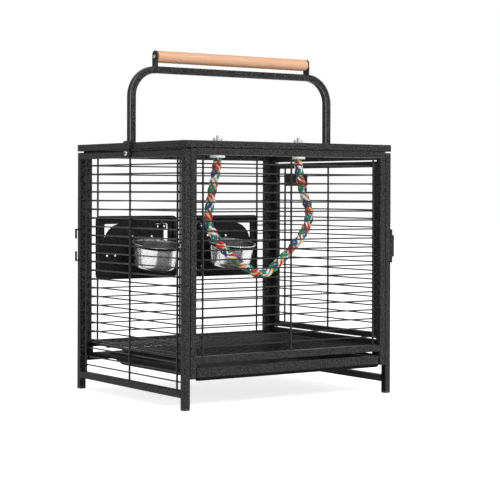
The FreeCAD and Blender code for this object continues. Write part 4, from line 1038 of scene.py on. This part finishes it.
# Where the wires touch their stays: beside, in front or behind, on the roof and on the grate
SIDE_TOUCH = 0.22415
FRONT_TOUCH = 0.18715
ROOF_TOUCH = 0.45895
GRATE_TOUCH = 0.08595


def crossings(x, y, z):
    """Every combination of three lists of coordinates, as rows of XYZ."""
    return np.stack(np.meshgrid(x, y, z, indexing="ij"), axis=-1).reshape(-1, 3)


def bead_grid(wide, thick):
    """A flat bead: rings of latitude on an ellipsoid, thick along its own Z axis."""
    latitude = np.linspace(-1.35, 1.35, 5)[:, None]
    return rings(wide * np.cos(latitude), round_angles(8), thick * np.sin(latitude))


def make_beads(finish):
    """Small weld beads between wires and stays, one piece for each body that carries them."""
    bead = bead_grid(wide=0.0023, thick=0.0013)
    side_levels = TOP_WIRE - SIDE_PITCH * np.arange(24)
    front_levels = TOP_WIRE - FRONT_PITCH * np.arange(20)
    roof_rows = (np.arange(-13, 13) + 0.5) * ROOF_PITCH
    grate_rows = np.arange(-14, 15) * GRATE_PITCH
    side_stays = (-0.1635, 0.0, 0.1635)
    front_stays = (-0.19, 0.0, 0.19)
    back_stays = (-0.1877, 0.0, 0.1877)
    door_stays = (-0.149, -0.0035, 0.142)
    grate_stays = (-0.1173, -0.0587, 0.0, 0.0587, 0.1173)
    left = placed(bead, TO_LEFT, crossings([-SIDE_TOUCH], side_stays, side_levels))
    front = placed(bead, TO_FRONT, crossings(front_stays, [-FRONT_TOUCH], front_levels))
    back = placed(bead, TO_BACK, crossings(back_stays, [FRONT_TOUCH], front_levels))
    roof = placed(bead, UP, crossings(roof_rows, side_stays, [ROOF_TOUCH]))
    door = placed(bead, TO_RIGHT, crossings([SIDE_TOUCH], door_stays, side_levels[1:19]))
    grate = placed(bead, UP, crossings(grate_rows, grate_stays, [GRATE_TOUCH]))
    for body, groups in (("frame", (left, front, back, roof)), ("door", (door,)), ("grate", (grate,))):
        beads = surface_piece(f"{body}_weld_beads", *(Shells(group) for group in groups))
        finish_piece(beads, finish, body, "wire_coat")


# Stage

CAMERA_PLACE = (-1.6755, -2.4838, 0.3786)
CAMERA_HEADING = math.radians(34.63)
CAMERA_ROLL = math.radians(-0.18)
CAMERA_LENS = 113.17
SENSOR = 36.0
HORIZON_SHIFT = -0.1162


def make_camera():
    """Level camera at the photograph's angle; the shift puts the horizon on its row of the picture."""
    camera = bpy.data.objects.new("camera", bpy.data.cameras.new("camera"))
    bpy.context.scene.collection.objects.link(camera)
    camera.data.lens = CAMERA_LENS
    camera.data.sensor_width = SENSOR
    camera.data.sensor_fit = "HORIZONTAL"
    camera.data.shift_y = HORIZON_SHIFT
    camera.data.clip_end = 50.0
    camera.location = CAMERA_PLACE
    camera.rotation_euler = (math.pi / 2, CAMERA_ROLL, -CAMERA_HEADING)
    bpy.context.scene.camera = camera


def make_area(name, place, aim, size, power):
    """Soft rectangular lamp turned from its place to a point."""
    lamp = bpy.data.objects.new(name, bpy.data.lights.new(name, "AREA"))
    bpy.context.scene.collection.objects.link(lamp)
    lamp.data.shape = "RECTANGLE"
    lamp.data.size, lamp.data.size_y = size
    lamp.data.energy = power
    lamp.location = place
    direction = np.array(place) - np.array(aim)
    flat = math.hypot(direction[0], direction[1])
    lamp.rotation_euler = (math.atan2(flat, direction[2]), 0.0, math.atan2(direction[0], -direction[1]))


def make_world(level):
    """Even light on the object; what the camera and mirrors see of it is white."""
    world = bpy.data.worlds.new("studio")
    bpy.context.scene.world = world
    world.use_nodes = True
    tree = world.node_tree
    back = tree.nodes["Background"]
    back.inputs["Color"].default_value = grey(1.0)
    path = tree.nodes.new("ShaderNodeLightPath")
    seen = path.outputs["Is Camera Ray"]
    for ray in ("Is Glossy Ray", "Is Transmission Ray"):
        either = tree.nodes.new("ShaderNodeMath")
        either.operation = "MAXIMUM"
        tree.links.new(seen, either.inputs[0])
        tree.links.new(path.outputs[ray], either.inputs[1])
        seen = either.outputs[0]
    strength = tree.nodes.new("ShaderNodeMapRange")
    strength.inputs["To Min"].default_value = level
    strength.inputs["To Max"].default_value = 1.0
    tree.links.new(seen, strength.inputs["Value"])
    tree.links.new(strength.outputs[0], back.inputs["Strength"])


def make_floor():
    """Plain pale floor, bright enough to run into the white behind it, with the object's shadow."""
    size = 12.0
    pale = grey(0.9)
    glow = grey(0.78)
    mesh = bpy.data.meshes.new("floor")
    corners = [(-size, -size, 0), (size, -size, 0), (size, size, 0), (-size, size, 0)]
    mesh.from_pydata(corners, [], [(0, 1, 2, 3)])
    floor = bpy.data.objects.new("floor", mesh)
    bpy.context.scene.collection.objects.link(floor)
    finish = Finish("pale_floor")
    finish.set("Base Color", pale)
    finish.set("Roughness", 0.9)
    path = finish.node("LightPath", {})
    seen = path.out("Is Camera Ray").larger(path.out("Is Glossy Ray")).larger(path.out("Is Transmission Ray"))
    finish.set("Emission Strength", 1.0)
    finish.set("Emission Color", finish.mix(seen, grey(0.0), glow))
    mesh.materials.append(finish.material)


def dress_node(name, material):
    """Put a finish on a CAD node."""
    for holder in nodes[name].material_slots:
        holder.material = material


def dress_slots(finishes):
    """Put the slot's finish on every CAD node whose slot has one."""
    for entry in frame["record"]["subparts"]:
        if entry["material_slot"] in finishes:
            dress_node(entry["node"], finishes[entry["material_slot"]])


# The scene

bpy.context.scene.view_settings.view_transform = "Standard"
make_camera()
make_rope()
make_world(level=0.42)
make_floor()
make_area("key_lamp", place=(0.6, -2.6, 2.4), aim=(0.0, 0.0, 0.3), size=(1.6, 1.6), power=92.0)
make_area("edge_lamp", place=(-2.4, -3.0, 1.5), aim=(0.0, 0.0, 0.3), size=(0.5, 0.9), power=9.0)

# Bands of painted shade on the tubes, at joints, gaps and under edges, as an axis and two distances from the
# middle along it
UNDER_RIM = (AXIS_Z, 0.4547, 0.4560)
# Painted shade over the top tube's upper edge, which would catch light from above
ON_TOP_TUBE = (AXIS_Z, 0.4508, 0.4540)
BESIDE_POST = (AXIS_X, 0.2167, 0.2179)
RIM_INSIDE = (AXIS_Y, 0.1798, 0.1806)
# Painted shade over the tray bar's lower part, as under its rounded edge
TRAY_EDGE = (AXIS_Z, -0.1, 0.0562)
FINISHES = {
    "coat": hammered_coat("hammered_coat", (UNDER_RIM,)),
    "wire_coat": wire_coat("wire_coat", specular=0.25),
    "sheet_coat": sheet_coat(),
    "bright": zinc_plate("dull_zinc", dark=(0.38, 0.39, 0.4, 1), light=(0.6, 0.6, 0.59, 1)),
    "bowl_steel": bowl_steel(
        "bowl_outside",
        dark=(0.72, 0.72, 0.73, 1),
        light=grey(0.86),
        metal=0.8,
        roughness=0.16,
    ),
    "foot_plastic": black_plastic(),
    "disc_plastic": white_plastic(),
    "perch_wood": beech_wood(),
}
# Painted reflection: the bowl's inside in a dark grey, as if it mirrored the dark cage round it
bowl_inside_shaded = bowl_steel(
    "bowl_inside_shaded",
    dark=(0.22, 0.22, 0.225, 1),
    light=grey(0.34),
    metal=1.0,
    roughness=0.18,
)
# Painted shade: the bowl's foot near black, as in the shade under it
bowl_foot = bowl_steel(
    "bowl_foot",
    dark=(0.02, 0.02, 0.021, 1),
    light=(0.045, 0.045, 0.046, 1),
    metal=0.4,
    roughness=0.7,
)
shiny = zinc_plate("bright_zinc", dark=grey(0.78), light=(0.92, 0.92, 0.91, 1))
# Painted shade: the charcoal coat with dimmer flecks and less shine, for the feeders that stand in the cage's
# shade
feeder_shaded_coat = hammered_coat("feeder_shaded_coat", specular=0.05, light=0.036)
post_coat = hammered_coat("post_coat", (UNDER_RIM, BESIDE_POST))
# Nodes with a finish of their own in place of their slot's
OWN_FINISHES = (
    (post_coat, "left_front_post", "right_front_post", "left_back_post", "right_back_post"),
    (post_coat, "front_left_stile", "front_right_stile", "back_left_stile", "back_right_stile"),
    (hammered_coat("top_tube_coat", (ON_TOP_TUBE,)), "left_top_tube", "right_top_tube"),
    (hammered_coat("rail_coat", (UNDER_RIM,), rail_painted_highlight), "front_top_rail"),
    (hammered_coat("rim_coat", (UNDER_RIM, RIM_INSIDE)), "roof_rim"),
    (hammered_coat("handle_coat", (), handle_painted_highlight), "handle_tube"),
    (hammered_coat("tray_bar_coat", (TRAY_EDGE,)), "tray_front_bar"),
    (feeder_shaded_coat, "feeder_plate_left", "feeder_plate_right", "feeder_flap_left", "feeder_flap_right"),
    (wire_coat("roof_wire_coat", specular=0.02), "roof_wire_panel"),
    (grate_coat(), "floor_grate"),
)
dress_slots(FINISHES)
for material, *names in OWN_FINISHES:
    for name in names:
        dress_node(name, material)
make_discs(FINISHES["disc_plastic"])
make_bolts(FINISHES["bright"])
make_wing_nuts(FINISHES["bright"])
make_bowls(FINISHES["bowl_steel"], bowl_inside_shaded, bowl_foot)
make_bowl_straps(feeder_shaded_coat)
make_handle_heads(FINISHES["bright"], FINISHES["foot_plastic"])
make_feeder_heads(shiny)
make_flap_rims(feeder_shaded_coat)
make_feet(FINISHES["foot_plastic"])
make_beads(FINISHES["wire_coat"])
